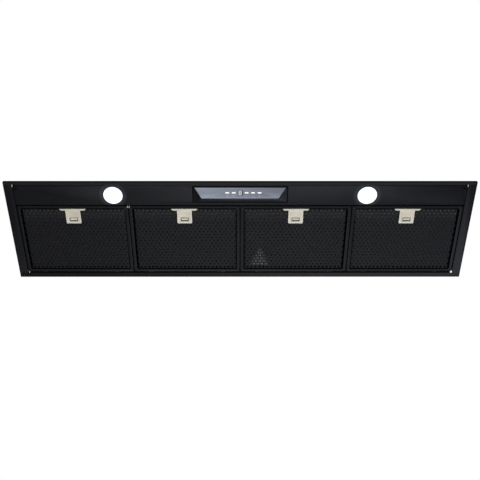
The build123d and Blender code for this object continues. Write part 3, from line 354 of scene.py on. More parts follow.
# Coated sheet metal
def flange_coat():
    """Coat of the canopy frame with painted light and shade: a painted sheen lighter to the right and
    rear, painted shade along its edge, on its rear strip and on its front side.
    """
    paint = coated("flange_coat", (0.012, 0.012, 0.0155), 0.5, 0.36)
    # Painted sheen: lighter to the right and towards the rear, with its own level on the front strip
    across = paint.fade("X", -570, 570)
    left = paint.fade("Y", -130, 130, 0.42, 0.62)
    right = paint.fade("Y", -130, 130, 0.46, 0.93)
    off_front = paint.fade("Y", CANOPY_FRONT + 5.5, CANOPY_FRONT + 6.5)
    front_level = paint.remap(across, 0.0, 0.3, 0.75, 1.0)
    level = paint.mix(off_front, front_level, paint.mix(across, left, right))
    # Painted shade on the rear strip, less to the right
    rear_strip = paint.fade("Y", CANOPY_REAR - 14.5, CANOPY_REAR - 13.5)
    rear_level = paint.remap(across, 0.2, 0.6, 0.55, 0.8)
    rear_painted_shade = paint.math("MAXIMUM", rear_level, paint.math("SUBTRACT", 1.0, rear_strip))
    # The painted edge shade leaves the front edge plain, so the rectangle reaches beyond it
    beyond_front = 17
    rim = paint.inside((-CANOPY_HALF, CANOPY_HALF), (CANOPY_FRONT - beyond_front, CANOPY_REAR))
    off_edge = paint.remap(rim, 0.8 * MM, 3 * MM, 0.25, 1.0, smooth=True)
    # Painted shade on the front side of the rim
    off_side = paint.fade("Y", CANOPY_FRONT + 0.1, CANOPY_FRONT + 0.6)
    paint.shade(paint.math("MULTIPLY", level, rear_painted_shade, off_edge, off_side), 0.04)
    return paint


def fascia_coat():
    """Coat of the fascia: painted shade in the seam round the controls and towards both ends, a painted
    cool glow of lamp light round the lit lamps.
    """
    paint = coated("fascia_coat", (0.0082, 0.0087, 0.0114), 0.48, 0.24)
    panel = paint.inside(span("control_housing", "X"), span("control_housing", "Y"))
    # Painted shade in the seam round the control housing
    off_seam = paint.remap(panel, -2.1 * MM, -0.9 * MM, 1.0, 0.0, smooth=True)
    # Painted shade towards both ends
    left = paint.fade("X", -500, -260, 0.72, 1.0, smooth=True)
    right = paint.fade("X", 280, 460, 1.0, 0.62, smooth=True)
    paint.shade(paint.math("MULTIPLY", off_seam, left, right), 0.05)
    # Painted glow: the fascia emits a faint cool light round each lamp
    halo = paint.math("ADD", *[paint.near(x, LAMP_Y, 26, 38) for x in (-LAMP_X, LAMP_X)])
    paint.set("Emission Color", (0.6, 0.75, 1.0, 1))
    paint.set("Emission Strength", paint.math("MULTIPLY", halo, 0.03))
    return paint


def filter_coat():
    """Coat of the filter frames: painted sheen on the rear bars, painted shade inside the front lip,
    painted light on the front side, a painted glint at one corner.
    """
    paint = coated("filter_coat", (0.0098, 0.0098, 0.0121), 0.52, 0.3)
    # Painted sheen on the rear bars, brightest behind the second filter and lighter at the far right
    rear_bar = paint.fade("Y", SHEET_REAR, SHEET_REAR + 2)
    brightest = -140
    sheen = paint.remap(paint.away("X", brightest), 200 * MM, 500 * MM, 1.0, 0.62)
    level = paint.mix(rear_bar, paint.fade("X", 500, 550, 0.66, 0.9), sheen)
    # Painted shade on the inner part of the front lip
    before_lip = paint.fade("Y", FILTER_FRONT + 3.8, FILTER_FRONT + 4.6, 1.0, 0.0)
    behind_lip = paint.fade("Y", FILTER_FRONT + 8.4, FILTER_FRONT + 9.0)
    aside = paint.math("ABSOLUTE", across_filter(paint))
    beside_lip = paint.remap(aside, (SHEET_HALF - 3.5) * MM, (SHEET_HALF - 2.5) * MM)
    lip = paint.math("MAXIMUM", before_lip, behind_lip, beside_lip, 0.15)
    paint.shade(paint.math("MULTIPLY", lip, level), 0.0)
    # Painted light on the front side of the frames, which stands in shade
    front_side = paint.fade("Y", FILTER_FRONT + 0.2, FILTER_FRONT + 0.4, 1.0, 0.0)
    paint.cover(front_side, (0.035, 0.035, 0.04))
    # Painted glint: a pale yellow spot at the front corners where the first and second filters meet
    corner_x = span("filter_frame_2", "X")[0] - 1.15
    painted_glint = paint.near(corner_x, FILTER_FRONT, 2.8, 3.8)
    paint.cover(painted_glint, (1.0, 0.97, 0.68))
    return paint


def sheet_coat():
    """Coat of the perforated sheets, with painted shade in the gutter along each filter's frame."""
    paint = coated("sheet_coat", (0.0075, 0.0075, 0.009), 0.52, 0.2)
    # Painted shade in the gutter
    paint.shade(off_gutter(paint, 3), 0.05)
    return paint


def mesh_metal():
    """Crimped aluminium mesh: a diamond weave, with painted light along the front and over one bright
    patch, and painted shade in the gutter.
    """
    paint = Paint("mesh_layers", (0.2, 0.2, 0.2), 0.62, metallic=0.4, specular=0.35)
    weave = paint.math("MULTIPLY", paint.wave(160, "DIAGONAL", 0.8), paint.noise(420, 2, 0.4))
    # Painted light along the front, cut off at the lip
    front = paint.fade("Y", FILTER_FRONT + 14, FILTER_FRONT + 52, 1.0, 0.0, smooth=True)
    off_lip = paint.fade("Y", FILTER_FRONT + 6.5, FILTER_FRONT + 11.5)
    light = paint.math("ADD", 0.165, paint.math("MULTIPLY", front, off_lip, 0.5))
    level = paint.math("MULTIPLY", paint.remap(weave, 0.05, 0.6, 0.35, 1.0), light)
    paint.set("Base Color", paint.blend(level, (0.012, 0.012, 0.014), (0.3, 0.3, 0.31)))
    # Painted light patch on the third filter
    paint.cover(paint.math("MULTIPLY", bright_wedge(paint), 0.34), (0.7, 0.72, 0.66))
    # Painted shade in the gutter
    paint.shade(off_gutter(paint, 10), 0.04)
    paint.bump(weave, 0.12)
    return paint


def bright_wedge(paint):
    """1 inside the triangular patch of painted light on the third filter."""
    axis_x, tip, foot = 51, 58, 109
    width = paint.fade("Y", tip, foot, 1 * MM, 24 * MM)
    sides = paint.remap(paint.math("SUBTRACT", width, paint.away("X", axis_x)), -4 * MM, 4 * MM)
    behind_tip = paint.fade("Y", tip - 5, tip + 5)
    before_foot = paint.fade("Y", foot, foot + 3, 1.0, 0.0)
    return paint.math("MULTIPLY", sides, behind_tip, before_foot)


# Bare and plated metal
def latch_nickel():
    """Satin nickel over a moulded latch, more pearly than a bare metal, with a painted highlight on its
    rim.
    """
    paint = plated("latch_nickel", (0.86, 0.79, 0.63), 0.5, (1, 0.05, 1), 0.01, 0.05)
    # Painted highlight: a paler colour over the rim face, stronger towards the foot
    rim = paint.fade("Z", LATCH_FACE_Z + 0.1, LATCH_FACE_Z + 0.4, 1.0, 0.0)
    shine_level = paint.fade("Y", -45, -35, 0.3, 0.85)
    paint.cover(paint.math("MULTIPLY", rim, shine_level), (1.0, 0.97, 0.86))
    paint.set("Metallic", 0.2)
    paint.set("Specular IOR Level", 0.3)
    return paint


def tongue_nickel():
    """Latch slider: a pale finger tab, the rest painted dark brown as shade, the tongue black at the
    fascia.
    """
    paint = plated("tongue_nickel", (1.0, 0.87, 0.74), 0.55, (0.05, 1, 1), 0.008)
    tab_z = span("latch_slider_1", "Z")[0]
    # Painted shade: dark brown on the slider above its finger tab
    paint.cover(paint.fade("Z", tab_z + 2.5, tab_z + 3.1), (0.03, 0.02, 0.014))
    tongue = paint.fade("Y", FILTER_FRONT + 5.5, FILTER_FRONT + 6, 1.0, 0.0)
    paint.cover(tongue, BLACK_COAT)
    paint.set("Metallic", 0.0)
    paint.set("Specular IOR Level", 0.1)
    return paint


def screw_metal():
    """Zinc screws; the two of the fascia, the lowest ones, are black."""
    paint = plated("zinc_screw", (0.6, 0.6, 0.57), 0.3)
    low = paint.fade("Z", 8, 9, 1.0, 0.0)
    paint.cover(low, BLACK_COAT)
    paint.set("Metallic", paint.remap(low, 0, 1, 1.0, 0.0))
    paint.set("Specular IOR Level", 0.1)
    return paint


def galvanised():
    """Zinc-coated sheet: spangle of crystals that differ in grey and in gloss."""
    paint = Paint("galvanised_sheet", (0.52, 0.54, 0.56), 0.42, metallic=0.85)
    grey, shine_level = paint.crystals(85)
    haze = paint.noise(6, 4, 0.6)
    level = paint.math("ADD", paint.math("MULTIPLY", grey, 0.65), haze)
    paint.vary(paint.remap(level, 0.3, 1.2), 0.72, 1.2)
    paint.gloss(shine_level, 0.32, 0.55)
    paint.bump(paint.noise(140, 3, 0.6), 0.01)
    return paint


# Lamps and controls
def lit_lens():
    """Lit opal lenses, falling off to a cool grey at the rim."""
    opal = (0.8, 0.82, 0.85)
    paint = Paint("lit_lens", opal, 0.35)
    left = paint.near(-LAMP_X, LAMP_Y, 22.9, 24.3)
    right = paint.near(LAMP_X, LAMP_Y, 23.0, 24.5)
    disc = paint.math("ADD", left, right)
    paint.set("Base Color", paint.blend(disc, (0.05, 0.06, 0.08), opal))
    paint.set("Emission Color", (1, 1, 1, 1))
    paint.set("Emission Strength", disc)
    return paint


def lit_digit():
    """Lit figure behind the display window, slightly uneven."""
    blue_white = (0.85, 0.95, 1.0)
    paint = Paint("digit_light", (0.8, 0.82, 0.85), 0.35)
    dimmer = tuple(0.94 * part for part in blue_white)
    paint.set("Emission Color", paint.blend(paint.noise(35, 2, 0.5), dimmer, blue_white))
    paint.set("Emission Strength", 0.2)
    return paint


def lit_button():
    """Push buttons: a painted white glow on their front half as a highlight, painted pink-brown shade on
    the rear half.
    """
    paint = Paint("button_white", (0.8, 0.8, 0.8), 0.4)
    shade_line = -115
    front = paint.fade("Y", shade_line - 0.4, shade_line + 0.4, 1.0, 0.0)
    # Painted shade behind the shade line; a painted glow as highlight in front of it
    paint.set("Base Color", paint.blend(front, (0.22, 0.16, 0.14), (0.85, 0.84, 0.83)))
    paint.set("Emission Color", (1.0, 0.95, 0.92, 1))
    paint.set("Emission Strength", paint.math("MULTIPLY", front, 0.85))
    return paint


def brushed_face():
    """Silver-blue face of the controls, brushed along its length, lighter to the left as painted light,
    black along its front edge.
    """
    metallic = 0.4
    paint = Paint("panel_face", (0.35, 0.38, 0.45), 0.5, metallic)
    grain = paint.noise(320, 4, 0.7, (0.03, 1, 1))
    # Painted light: the face is lighter towards its left end
    across = paint.fade("X", -110, 110, 1.0, 0.0, smooth=True)
    level = paint.math("ADD", paint.math("MULTIPLY", grain, 0.4), paint.math("MULTIPLY", across, 0.6))
    paint.vary(level, 0.72, 1.3)
    front = span("control_face", "Y")[0]
    front_edge = paint.fade("Y", front + 1.73, front + 2.43, 1.0, 0.0)
    paint.cover(front_edge, (0.006, 0.006, 0.008))
    paint.set("Specular IOR Level", paint.remap(front_edge, 0, 1, 0.5, 0.1))
    paint.set("Metallic", paint.remap(front_edge, 0, 1, metallic, 0.0))
    paint.gloss(grain, 0.44, 0.6)
    paint.bump(grain, 0.004)
    return paint


def panel_black():
    """Black housing of the controls: painted shade in the seam at its foot and on its left end, a cooler
    painted reflection on its right end.
    """
    paint = Paint("panel_black", (0.006, 0.0065, 0.009), 0.3, specular=0.3)
    # Painted reflection: a lighter, cooler black on the right end
    right_end = paint.fade("X", 94, 104, smooth=True)
    paint.set("Base Color", paint.blend(right_end, (0.005, 0.0055, 0.0075), (0.014, 0.016, 0.024)))
    # Painted shade at the foot and on the left end
    off_foot = paint.fade("Z", FASCIA_FACE_Z - 1.3, FASCIA_FACE_Z - 0.7, 1.0, 0.0)
    off_left_end = paint.fade("X", -100, -96, 0.7, 1.0)
    paint.shade(paint.math("MULTIPLY", off_foot, off_left_end), 0.1)
    paint.gloss(paint.noise(60, 3, 0.6), 0.28, 0.4)
    paint.bump(paint.noise(1500, 2, 0.6), 0.005)
    return paint


def display_glass():
    """Window of the display, dark along its right edge."""
    paint = Paint("display_glass", (0.27, 0.3, 0.36), 0.2)
    paint.set("Coat Weight", 0.3)
    paint.set("Coat Roughness", 0.1)
    paint.vary(paint.noise(80, 2, 0.5), 0.85, 1.15)
    right = span("display_window", "X")[1]
    paint.shade(paint.fade("X", right - 2.3, right - 1.3, 1.0, 0.0), 0.15)
    return paint


def circuit():
    """Green board with lighter tracks."""
    paint = Paint("control_board", (0.02, 0.12, 0.05), 0.3)
    tracks = paint.wave(260, "X", 6.0)
    shape = paint.remap(tracks, 0.6, 0.7)
    paint.set("Base Color", paint.blend(shape, (0.015, 0.09, 0.035), (0.03, 0.2, 0.08)))
    paint.bump(tracks, 0.03)
    return paint


LOOKS = {
    "flange": flange_coat(),
    "fascia": fascia_coat(),
    "filter": filter_coat(),
    "sheet": sheet_coat(),
    "mesh": mesh_metal(),
    "nickel": latch_nickel(),
    "tongue": tongue_nickel(),
    "spring": plated("spring_strip", (0.5, 0.5, 0.52), 0.3),
    "zinc": galvanised(),
    "screw": screw_metal(),
    "duct": moulded("duct_black", (0.022, 0.022, 0.024)),
    "flap": moulded("flap_grey", (0.05, 0.05, 0.054)),
    "scroll": moulded("scroll_grey", (0.2, 0.21, 0.22), 0.5),
    "impeller": moulded("impeller_black", (0.03, 0.03, 0.034), 0.4),
    "motor": plated("motor_casting", (0.5, 0.5, 0.51), 0.5, depth=0.05),
    "shaft": plated("ground_shaft", (0.6, 0.6, 0.6), 0.2, (1, 0.05, 0.05)),
    "bracket": plated("plated_bracket", (0.5, 0.5, 0.5), 0.35),
    "rubber": moulded("bush_rubber", (0.015, 0.015, 0.015), 0.7, 0.3),
    "capacitor": moulded("capacitor_white", (0.7, 0.7, 0.68), 0.4),
    "box": moulded("terminal_grey", (0.1, 0.1, 0.105), 0.5, grain=0.05),
    "gland": moulded("gland_black", (0.02, 0.02, 0.02), 0.4),
    "driver": moulded("driver_white", (0.68, 0.68, 0.66), 0.42),
    "bezel": coated("bezel_black", (0.02, 0.024, 0.03), 0.4, 0.4),
    "lens": lit_lens(),
    "panel": panel_black(),
    "face": brushed_face(),
    "window": display_glass(),
    "digit": lit_digit(),
    "print": moulded("panel_print", (0.75, 0.82, 0.88), 0.5),
    "button": lit_button(),
    "board": circuit(),
}


# Mesh helpers
def give_look(mesh, look):
    mesh.materials.clear()
    mesh.materials.append(LOOKS[look].material)


def add_piece(name, mesh, body, look, slot, *replaced):
    piece = bpy.data.objects.new(name, mesh)
    bpy.context.scene.collection.objects.link(piece)
    give_look(mesh, look)
    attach(piece, body)
    if replaced:
        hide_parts(*replaced)
    return piece


def mesh_from(name, bm):
    mesh = bpy.data.meshes.new(name)
    bm.normal_update()
    bm.to_mesh(mesh)
    bm.free()
    return mesh


def modified(mesh, kind, **settings):
    """The mesh with a modifier applied."""
    carrier = bpy.data.objects.new("carrier", mesh)
    bpy.context.scene.collection.objects.link(carrier)
    modifier = carrier.modifiers.new(kind, kind)
    for key, value in settings.items():
        setattr(modifier, key, value)
    graph = bpy.context.evaluated_depsgraph_get()
    result = bpy.data.meshes.new_from_object(carrier.evaluated_get(graph))
    bpy.data.objects.remove(carrier)
    return result


def thickened(mesh, thickness):
    """The mesh as a sheet of that thickness in mm, the surface in its middle."""
    return modified(mesh, "SOLIDIFY", thickness=thickness * MM, offset=0.0)


def rolled(mesh, width, segments):
    """The mesh with its sharp edges rolled to a width in mm."""
    return modified(
        mesh,
        "BEVEL",
        width=width * MM,
        segments=segments,
        limit_method="ANGLE",
        angle_limit=math.radians(30),
        use_clamp_overlap=True,
    )


def shade_by_angle(mesh, degrees):
    mesh.shade_smooth()
    mesh.set_sharp_from_angle(angle=math.radians(degrees))


# CAD pieces with rolled edges
def copy_of(node, reshape=None):
    """A CAD node's shape, reshaped where asked, with its flat faces joined."""
    bm = bmesh.new()
    bm.from_mesh(nodes[node].data)
    if reshape:
        reshape(bm)
    bmesh.ops.remove_doubles(bm, verts=bm.verts, dist=1e-6)
    bmesh.ops.dissolve_limit(
        bm, angle_limit=math.radians(0.5), verts=bm.verts, edges=bm.edges, use_dissolve_boundaries=False
    )
    return bm


def finish(node, bm, look, slot, width, segments=2):
    """Replace a CAD node by a shape with rolled edges."""
    mesh = rolled(mesh_from(node + "_soft", bm), width, segments)
    shade_by_angle(mesh, 40)
    return add_piece(node + "_finish", mesh, nodes[node]["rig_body"], look, slot, node)


def soften(node, *settings):
    """Replace a CAD node by the same shape with rolled edges."""
    return finish(node, copy_of(node), *settings)


def square_corners(bm):
    """Draw the rounded corners of the canopy's rim out to a point."""
    round_outside, round_inside = 2, 1
    centre_x, centre_y = CANOPY_HALF - round_outside, CANOPY_REAR - round_outside
    slack = 0.01
    for vert in bm.verts:
        x, y = vert.co.x / MM, vert.co.y / MM
        if abs(x) > centre_x - slack and abs(y) > centre_y - slack:
            radius = math.hypot(abs(x) - centre_x, abs(y) - centre_y)
            outer = radius > (round_outside + round_inside) / 2
            reach = round_outside if outer else round_inside
            vert.co.x = math.copysign((centre_x + reach) * MM, x)
            vert.co.y = math.copysign((centre_y + reach) * MM, y)


def corner_beads(bm):
    """Angled weld beads that fill a part of three of the tray's corner reliefs."""
    width = 1
    tray_half, tray_front, tray_rear = CANOPY_HALF - 20.5, CANOPY_FRONT + 5.5, CANOPY_REAR - 12
    for x, y, reach, low, high in (
        (-tray_half, tray_front, 9.0, -1.5, 4.99),
        (tray_half, tray_front, 9.0, -1.5, 4.99),
        (-tray_half, tray_rear, 3.2, -6.99, 1.5),
    ):
        right, back = math.copysign(1, -x), math.copysign(1, -y)
        angle = ((0, 0), (reach, 0), (reach, width), (width, width), (width, reach), (0, reach))
        outline = [(x + right * across, y + back * along) for across, along in angle]
        rings = [[bm.verts.new((a * MM, b * MM, z * MM)) for a, b in outline] for z in (low, high)]
        walls = [bm.faces.new(ring) for ring in rings]
        for k in range(len(outline)):
            n = (k + 1) % len(outline)
            walls.append(bm.faces.new((rings[0][k], rings[0][n], rings[1][n], rings[1][k])))
        bmesh.ops.recalc_face_normals(bm, faces=walls)


def canopy_frame():
    """Canopy frame with sharp rim corners and weld beads."""
    bm = copy_of("canopy_frame", square_corners)
    corner_beads(bm)
    return finish("canopy_frame", bm, "flange", "flange_paint", 0.3)


# Filters
def cut(bm, place, direction, remove=False):
    """Cut along a plane through a place, and remove what is on the direction's side if asked."""
    geometry = list(bm.verts) + list(bm.edges) + list(bm.faces)
    bmesh.ops.bisect_plane(bm, geom=geometry, plane_co=place, plane_no=direction, clear_outer=remove)


def honeycomb(bm):
    """Flat net of hexagons in mm, round the middle of a filter, each with a hole in it."""
    cell_radius = HEX_PITCH / math.sqrt(3)
    hole_radius = 3.95
    margin = 6
    known = {}

    def shared_corner(x, y):
        key = (round(x, 2), round(y, 2))
        if key not in known:
            known[key] = bm.verts.new((x, y, 0))
        return known[key]

    for row in range(-12, 13):
        for column in range(-15, 16):
            x = (column + (0.5 if row % 2 else 0)) * HEX_PITCH
            y = HOLE_ROW_Y + row * HEX_ROW_PITCH
            if abs(x) > SHEET_HALF + margin or not SHEET_FRONT - margin < y < SHEET_REAR + margin:
                continue
            turns = [math.radians(30 + 60 * k) for k in range(6)]
            cell = []
            hole = []
            for turn in turns:
                across, along = math.cos(turn), math.sin(turn)
                cell.append(shared_corner(x + cell_radius * across, y + cell_radius * along))
                hole.append(bm.verts.new((x + hole_radius * across, y + hole_radius * along, 0)))
            for k in range(6):
                n = (k + 1) % 6
                bm.faces.new((cell[k], cell[n], hole[n], hole[k]))


def latch_plate(bm):
    """Plain plate behind the latch instead of the net, with a window for the finger tab."""
    half, rear = 20.6, -22.6
    window_half, window_front, window_rear = 10, -45, -30.3
    for side in (-half, half):
        cut(bm, (side, 0, 0), (1, 0, 0))
    cut(bm, (0, rear, 0), (0, 1, 0))
    middles = [(face, face.calc_center_median()) for face in bm.faces]
    covered = [face for face, spot in middles if abs(spot.x) < half and spot.y < rear]
    bmesh.ops.delete(bm, geom=covered, context="FACES")
    across = (-half, -window_half, window_half, half)
    along = (SHEET_FRONT, -62, window_front, window_rear, rear)
    rows = [[bm.verts.new((x, y, 0)) for x in across] for y in along]
    for j in range(len(along) - 1):
        for i in range(len(across) - 1):
            if across[i] == -window_half and along[j] == window_front:
                continue
            bm.faces.new((rows[j][i], rows[j][i + 1], rows[j + 1][i + 1], rows[j + 1][i]))


def sheet_height(x, y):
    """Height in mm of a filter's sheet: slightly crowned, sunk in a gutter along the frame."""
    gutter_start, gutter_width, gutter_depth = 0.5, 5.0, 2.7
    crown, crown_front = 0.25, SHEET_FRONT + 0.5
    edge = min(GUTTER_HALF - abs(x), y - GUTTER_FRONT, GUTTER_REAR - y)
    sink = 1 - min(max((edge - gutter_start) / gutter_width, 0), 1)
    sink = sink * sink * (3 - 2 * sink)
    across = (x + SHEET_HALF) / (2 * SHEET_HALF)
    along = (y - crown_front) / (SHEET_REAR - SHEET_FRONT)
    return SHEET_Z + gutter_depth * sink - crown * math.sin(math.pi * across) * math.sin(math.pi * along)


def perforated_sheet(number):
    """Fine honeycomb sheet of a filter."""
    centre_x = middle(f"filter_grille_{number}", "X")
    bm = bmesh.new()
    honeycomb(bm)
    for place, direction in (
        ((-SHEET_HALF, 0, 0), (-1, 0, 0)),
        ((SHEET_HALF, 0, 0), (1, 0, 0)),
        ((0, SHEET_FRONT, 0), (0, -1, 0)),
        ((0, SHEET_REAR, 0), (0, 1, 0)),
    ):
        cut(bm, place, direction, remove=True)
    latch_plate(bm)
    for vert in bm.verts:
        x, y = vert.co.x, vert.co.y
        vert.co = ((x + centre_x) * MM, y * MM, sheet_height(x, y) * MM)
    sheet = thickened(mesh_from(f"perforated_{number}", bm), 0.5)
    shade_by_angle(sheet, 40)
    return add_piece(
        f"perforated_sheet_{number}", sheet, f"filter_{number}", "sheet", "filter_paint",
        f"filter_grille_{number}",
    )


def mesh_layers(number):
    """Crimped mesh behind the sheet, an egg-crate relief in step with the holes."""
    centre_x, centre_y = middle(f"filter_media_{number}", "X"), middle(f"filter_media_{number}", "Y")
    step, count_x, count_y = 2.6, 104, 74
    height = middle(f"filter_media_{number}", "Z")
    relief_height, unevenness = 0.45, 0.0625
    bm = bmesh.new()
    rows = []
    for j in range(count_y + 1):
        y = centre_y + (j - count_y / 2) * step
        along = math.cos(math.pi * (y - HOLE_ROW_Y) / HEX_ROW_PITCH)
        row = []
        for i in range(count_x + 1):
            x = (i - count_x / 2) * step
            relief = math.cos(2 * math.pi * x / HEX_PITCH) * along
            z = height + relief_height * relief + rng.uniform(-unevenness, unevenness)
            row.append(bm.verts.new(((x + centre_x) * MM, y * MM, z * MM)))
        rows.append(row)
    for j in range(count_y):
        for i in range(count_x):
            bm.faces.new((rows[j][i], rows[j][i + 1], rows[j + 1][i + 1], rows[j + 1][i]))
    layers = thickened(mesh_from(f"layers_{number}", bm), 0.3)
    shade_by_angle(layers, 60)
    return add_piece(
        f"mesh_layers_{number}", layers, f"filter_{number}", "mesh", "filter_mesh",
        f"filter_media_{number}",
    )


def return_spring(number):
    """Strip spring of a latch, pressed against its peg as the tongue slides back."""
    node = f"latch_spring_{number}"
    mesh = nodes[node].data.copy()
    piece = add_piece(f"return_spring_{number}", mesh, f"filter_{number}", "spring", "spring_steel", node)
    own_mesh(piece)


# Lamps
def revolve(bm, profile, centre_x, centre_y, steps):
    """Closed surface of revolution; profile is (radius, z) in mm and starts and ends on the axis."""
    rings = []
    for radius, z in profile:
        places = [(centre_x, centre_y)]
        if radius:
            places = arc(centre_x, centre_y, radius, 0, 360, steps)[:-1]
        rings.append([bm.verts.new((x * MM, y * MM, z * MM)) for x, y in places])
    for lower, upper in zip(rings, rings[1:]):
        for k in range(steps):
            n = (k + 1) % steps
            if len(lower) == 1:
                bm.faces.new((lower[0], upper[n], upper[k]))
            elif len(upper) == 1:
                bm.faces.new((lower[k], lower[n], upper[0]))
            else:
                bm.faces.new((lower[k], lower[n], upper[n], upper[k]))
    bmesh.ops.recalc_face_normals(bm, faces=bm.faces)


def lamp_lenses():
    """Slightly domed opal lenses with a stepped rim."""
    face, back = span("lamp_lenses", "Z")
    dome_radius, dome_rise, dome_steps = 24.2, 0.12, 8
    rim = 24.75
    dome = [
        (dome_radius * k / dome_steps, face + dome_rise * (k / dome_steps) ** 2)
        for k in range(dome_steps + 1)
    ]
    step = [(rim - 0.1, face + 0.3), (rim, face + 0.6)]
    rear = [(rim, back - 0.1), (rim - 1.25, back), (0, back)]
    bm = bmesh.new()
    for x in (-LAMP_X, LAMP_X):
        revolve(bm, dome + step + rear, x, LAMP_Y, 64)
    mesh = mesh_from("lenses", bm)
    shade_by_angle(mesh, 35)
    return add_piece("lamp_lenses_finish", mesh, ROOT, "lens", "lamp_diffuser", "lamp_lenses")


# Marks on the control face, drawn as raised print on its plane in mm
def arc(x, y, radius, start, end, steps):
    angles = [math.radians(start + (end - start) * k / steps) for k in range(steps + 1)]
    return [(x + radius * math.cos(angle), y + radius * math.sin(angle)) for angle in angles]


def on_panel(x, y):
    return (PANEL_MIDDLE + Vector((x, 0, 0)) + PANEL_UP * y + PANEL_OUT * PRINT_OUT) * MM


def ribbon(bm, points, width, closed=False):
    """Flat stroke of constant width through points on the control face."""
    count = len(points)
    rails = []
    for k, (x, y) in enumerate(points):
        before, after = (k - 1) % count, (k + 1) % count
        if not closed:
            before, after = max(k - 1, 0), min(k + 1, count - 1)
        dx, dy = points[after][0] - points[before][0], points[after][1] - points[before][1]
        half = width / 2 / math.hypot(dx, dy)
        sides = ((x - dy * half, y + dx * half), (x + dy * half, y - dx * half))
        rails.append([bm.verts.new(on_panel(*side)) for side in sides])
    for k in range(count if closed else count - 1):
        first, second = rails[k], rails[(k + 1) % count]
        bm.faces.new((first[0], first[1], second[1], second[0]))


def panel_print():
    """Generic symbols under the buttons: clock, lamp, down, up and power."""
    bm = bmesh.new()

    def stroke(button, points, closed=False):
        button_x = middle(f"button_{button}", "X")
        ribbon(bm, [(button_x + x, ICON_LINE + y) for x, y in points], 0.55, closed)

    stroke("timer", arc(0, 0, 2.2, 0, 345, 24), closed=True)
    stroke("timer", [(0, 1.4), (0, 0), (1.1, 0)])
    stroke("light", arc(0, 0.5, 1.7, -50, 230, 20))
    stroke("light", [(-0.8, -1.4), (0.8, -1.4)])
    stroke("light", [(-0.6, -2.2), (0.6, -2.2)])
    stroke("down", [(-2, 0.9), (0, -1.1), (2, 0.9)])
    stroke("up", [(-2, -0.9), (0, 1.1), (2, -0.9)])
    stroke("power", arc(0, -0.2, 2.0, 125, 415, 22))
    stroke("power", [(0, 2.4), (0, 0.2)])
    mesh = thickened(mesh_from("print", bm), PRINT_DEPTH)
    return add_piece("panel_print", mesh, ROOT, "print", "panel_face")


def display_digit():
    """Seven-segment figure lit inside the window."""
    half_width, half_height, line, gap = 2.9, 4.4, 1.8, 0.5
    y = (centre("display_window") - PANEL_MIDDLE).dot(PANEL_UP)
    bm = bmesh.new()
    for level in (half_height, 0, -half_height):
        ribbon(bm, [(-half_width + gap, y + level), (half_width - gap, y + level)], line)
    for x in (-half_width, half_width):
        for top in (half_height, 0):
            ribbon(bm, [(x, y + top - gap), (x, y + top - half_height + gap)], line)
    mesh = thickened(mesh_from("digit", bm), PRINT_DEPTH)
    return add_piece("display_digit", mesh, ROOT, "digit", "display")


# Stage and light
def add_stage():
    bpy.ops.mesh.primitive_plane_add(size=16, location=(0, 0, -2.35))
    floor = bpy.context.object
    floor.name = "floor"
    paint = Paint("floor_paper", (0.82, 0.82, 0.82), 0.9, specular=0.1)
    paint.vary(paint.noise(2, 2, 0.5), 0.99, 1.01)
    floor.data.materials.append(paint.material)


def add_world():
    """Soft light from all round, seen as plain white by the camera, in mirrors and through glass."""
    world = bpy.data.worlds.new("studio")
    bpy.context.scene.world = world
    world.use_nodes = True
    tree = world.node_tree
    tree.nodes.clear()
    path = tree.nodes.new("ShaderNodeLightPath")
    shown = path.outputs["Is Camera Ray"]
    for name in ("Is Glossy Ray", "Is Transmission Ray"):
        larger = tree.nodes.new("ShaderNodeMath")
        larger.operation = "MAXIMUM"
        tree.links.new(shown, larger.inputs[0])
        tree.links.new(path.outputs[name], larger.inputs[1])
        shown = larger.outputs[0]
    mix = tree.nodes.new("ShaderNodeMixShader")
    tree.links.new(shown, mix.inputs["Fac"])
    for place, colour, strength in ((1, (0.95, 0.97, 1.0, 1), 0.22), (2, (1, 1, 1, 1), 1.0)):
        background = tree.nodes.new("ShaderNodeBackground")
        background.inputs["Color"].default_value = colour
        background.inputs["Strength"].default_value = strength
        tree.links.new(background.outputs[0], mix.inputs[place])
    output = tree.nodes.new("ShaderNodeOutputWorld")
    tree.links.new(mix.outputs[0], output.inputs["Surface"])


def add_light(name, place, target, size, power, colour=(1, 1, 1)):
    data = bpy.data.lights.new(name, "AREA")
    data.shape = "RECTANGLE"
    data.size, data.size_y = size
    data.energy = power
    data.color = colour
    light = bpy.data.objects.new(name, data)
    bpy.context.scene.collection.objects.link(light)
    light.location = place
    light.rotation_euler = (Vector(target) - Vector(place)).to_track_quat("-Z", "Y").to_euler()


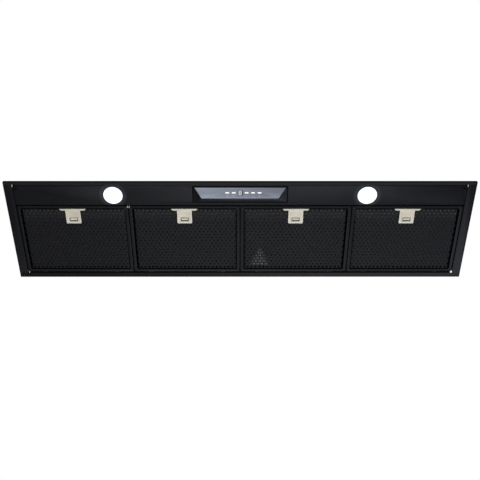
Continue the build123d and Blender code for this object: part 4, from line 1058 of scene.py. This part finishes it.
bpy.context.scene.view_settings.view_transform = "Standard"
add_camera()
add_stage()
add_world()
add_light("key", (-0.5, -2.0, -1.9), (0, 0, 0), (2.2, 1.2), 18.4)
add_light("fill", (1.6, -0.4, -1.7), (0.2, 0, 0), (1.4, 1.4), 0.8)
add_light("sheen", (0.28, 1.52, -1.75), (0.2, 0.1, 0), (1.6, 0.8), 10.5, (0.93, 0.96, 1.0))
add_light("front_sheen", (-0.1, 0.82, -1.75), (0, -0.1, 0), (1.0, 0.4), 3.2, (0.93, 0.96, 1.0))
add_light("cool_sheen", (1.5, 1.8, -1.75), (0.55, 0.1, 0), (0.5, 0.9), 5, (0.7, 0.78, 1.0))
add_light("top", (0.3, 0.6, 2.4), (0, 0, 0), (2.4, 2.4), 12)

canopy_frame()
soften("front_fascia", "fascia", "fascia_paint", 0.3)
soften("body_wrap", "zinc", "galvanised", 0.3)
soften("cross_bars", "flange", "flange_paint", 0.3)
soften("motor_housing", "zinc", "galvanised", 0.3)
soften("outlet_spigot", "duct", "duct_plastic", 0.4)
soften("control_housing", "panel", "panel_plastic", 0.3)
soften("control_face", "face", "panel_face", 0.12)
soften("display_window", "window", "display", 0.12)
soften("terminal_box", "box", "box_plastic", 0.5)
soften("terminal_lid", "box", "box_plastic", 0.4)
soften("cable_gland", "gland", "gland_plastic", 0.4)
soften("led_driver", "driver", "driver_plastic", 0.4)
soften("capacitor", "capacitor", "capacitor_can", 0.4)
soften("body_screws", "screw", "zinc_screw", 0.3)
for place in SIDES:
    soften(f"end_cap_{place}", "zinc", "galvanised", 0.3)
    soften(f"lamp_body_{place}", "bezel", "lamp_metal", 0.2)
    soften(f"volute_{place}", "scroll", "scroll_plastic", 0.4)
lamp_lenses()
for number in FILTERS:
    soften(f"filter_frame_{number}", "filter", "filter_paint", 0.25)
    soften(f"latch_body_{number}", "nickel", "latch_metal", 0.35, 3)
    soften(f"latch_slider_{number}", "tongue", "latch_tongue", 0.15)
    perforated_sheet(number)
    mesh_layers(number)
    return_spring(number)
for name in BUTTONS:
    soften(f"button_{name}", "button", "button_white", 0.3, 3)
for name in ("front", "rear"):
    soften(f"damper_flap_{name}", "flap", "flap_plastic", 0.3)
for node, look in (
    ("impeller_cages", "impeller"),
    ("impeller_disc", "impeller"),
    ("motor_shaft", "shaft"),
    ("motor_can", "motor"),
    ("motor_bracket", "bracket"),
    ("motor_bushes", "rubber"),
    ("control_board", "board"),
):
    give_look(nodes[node].data, look)
panel_print()
display_digit()
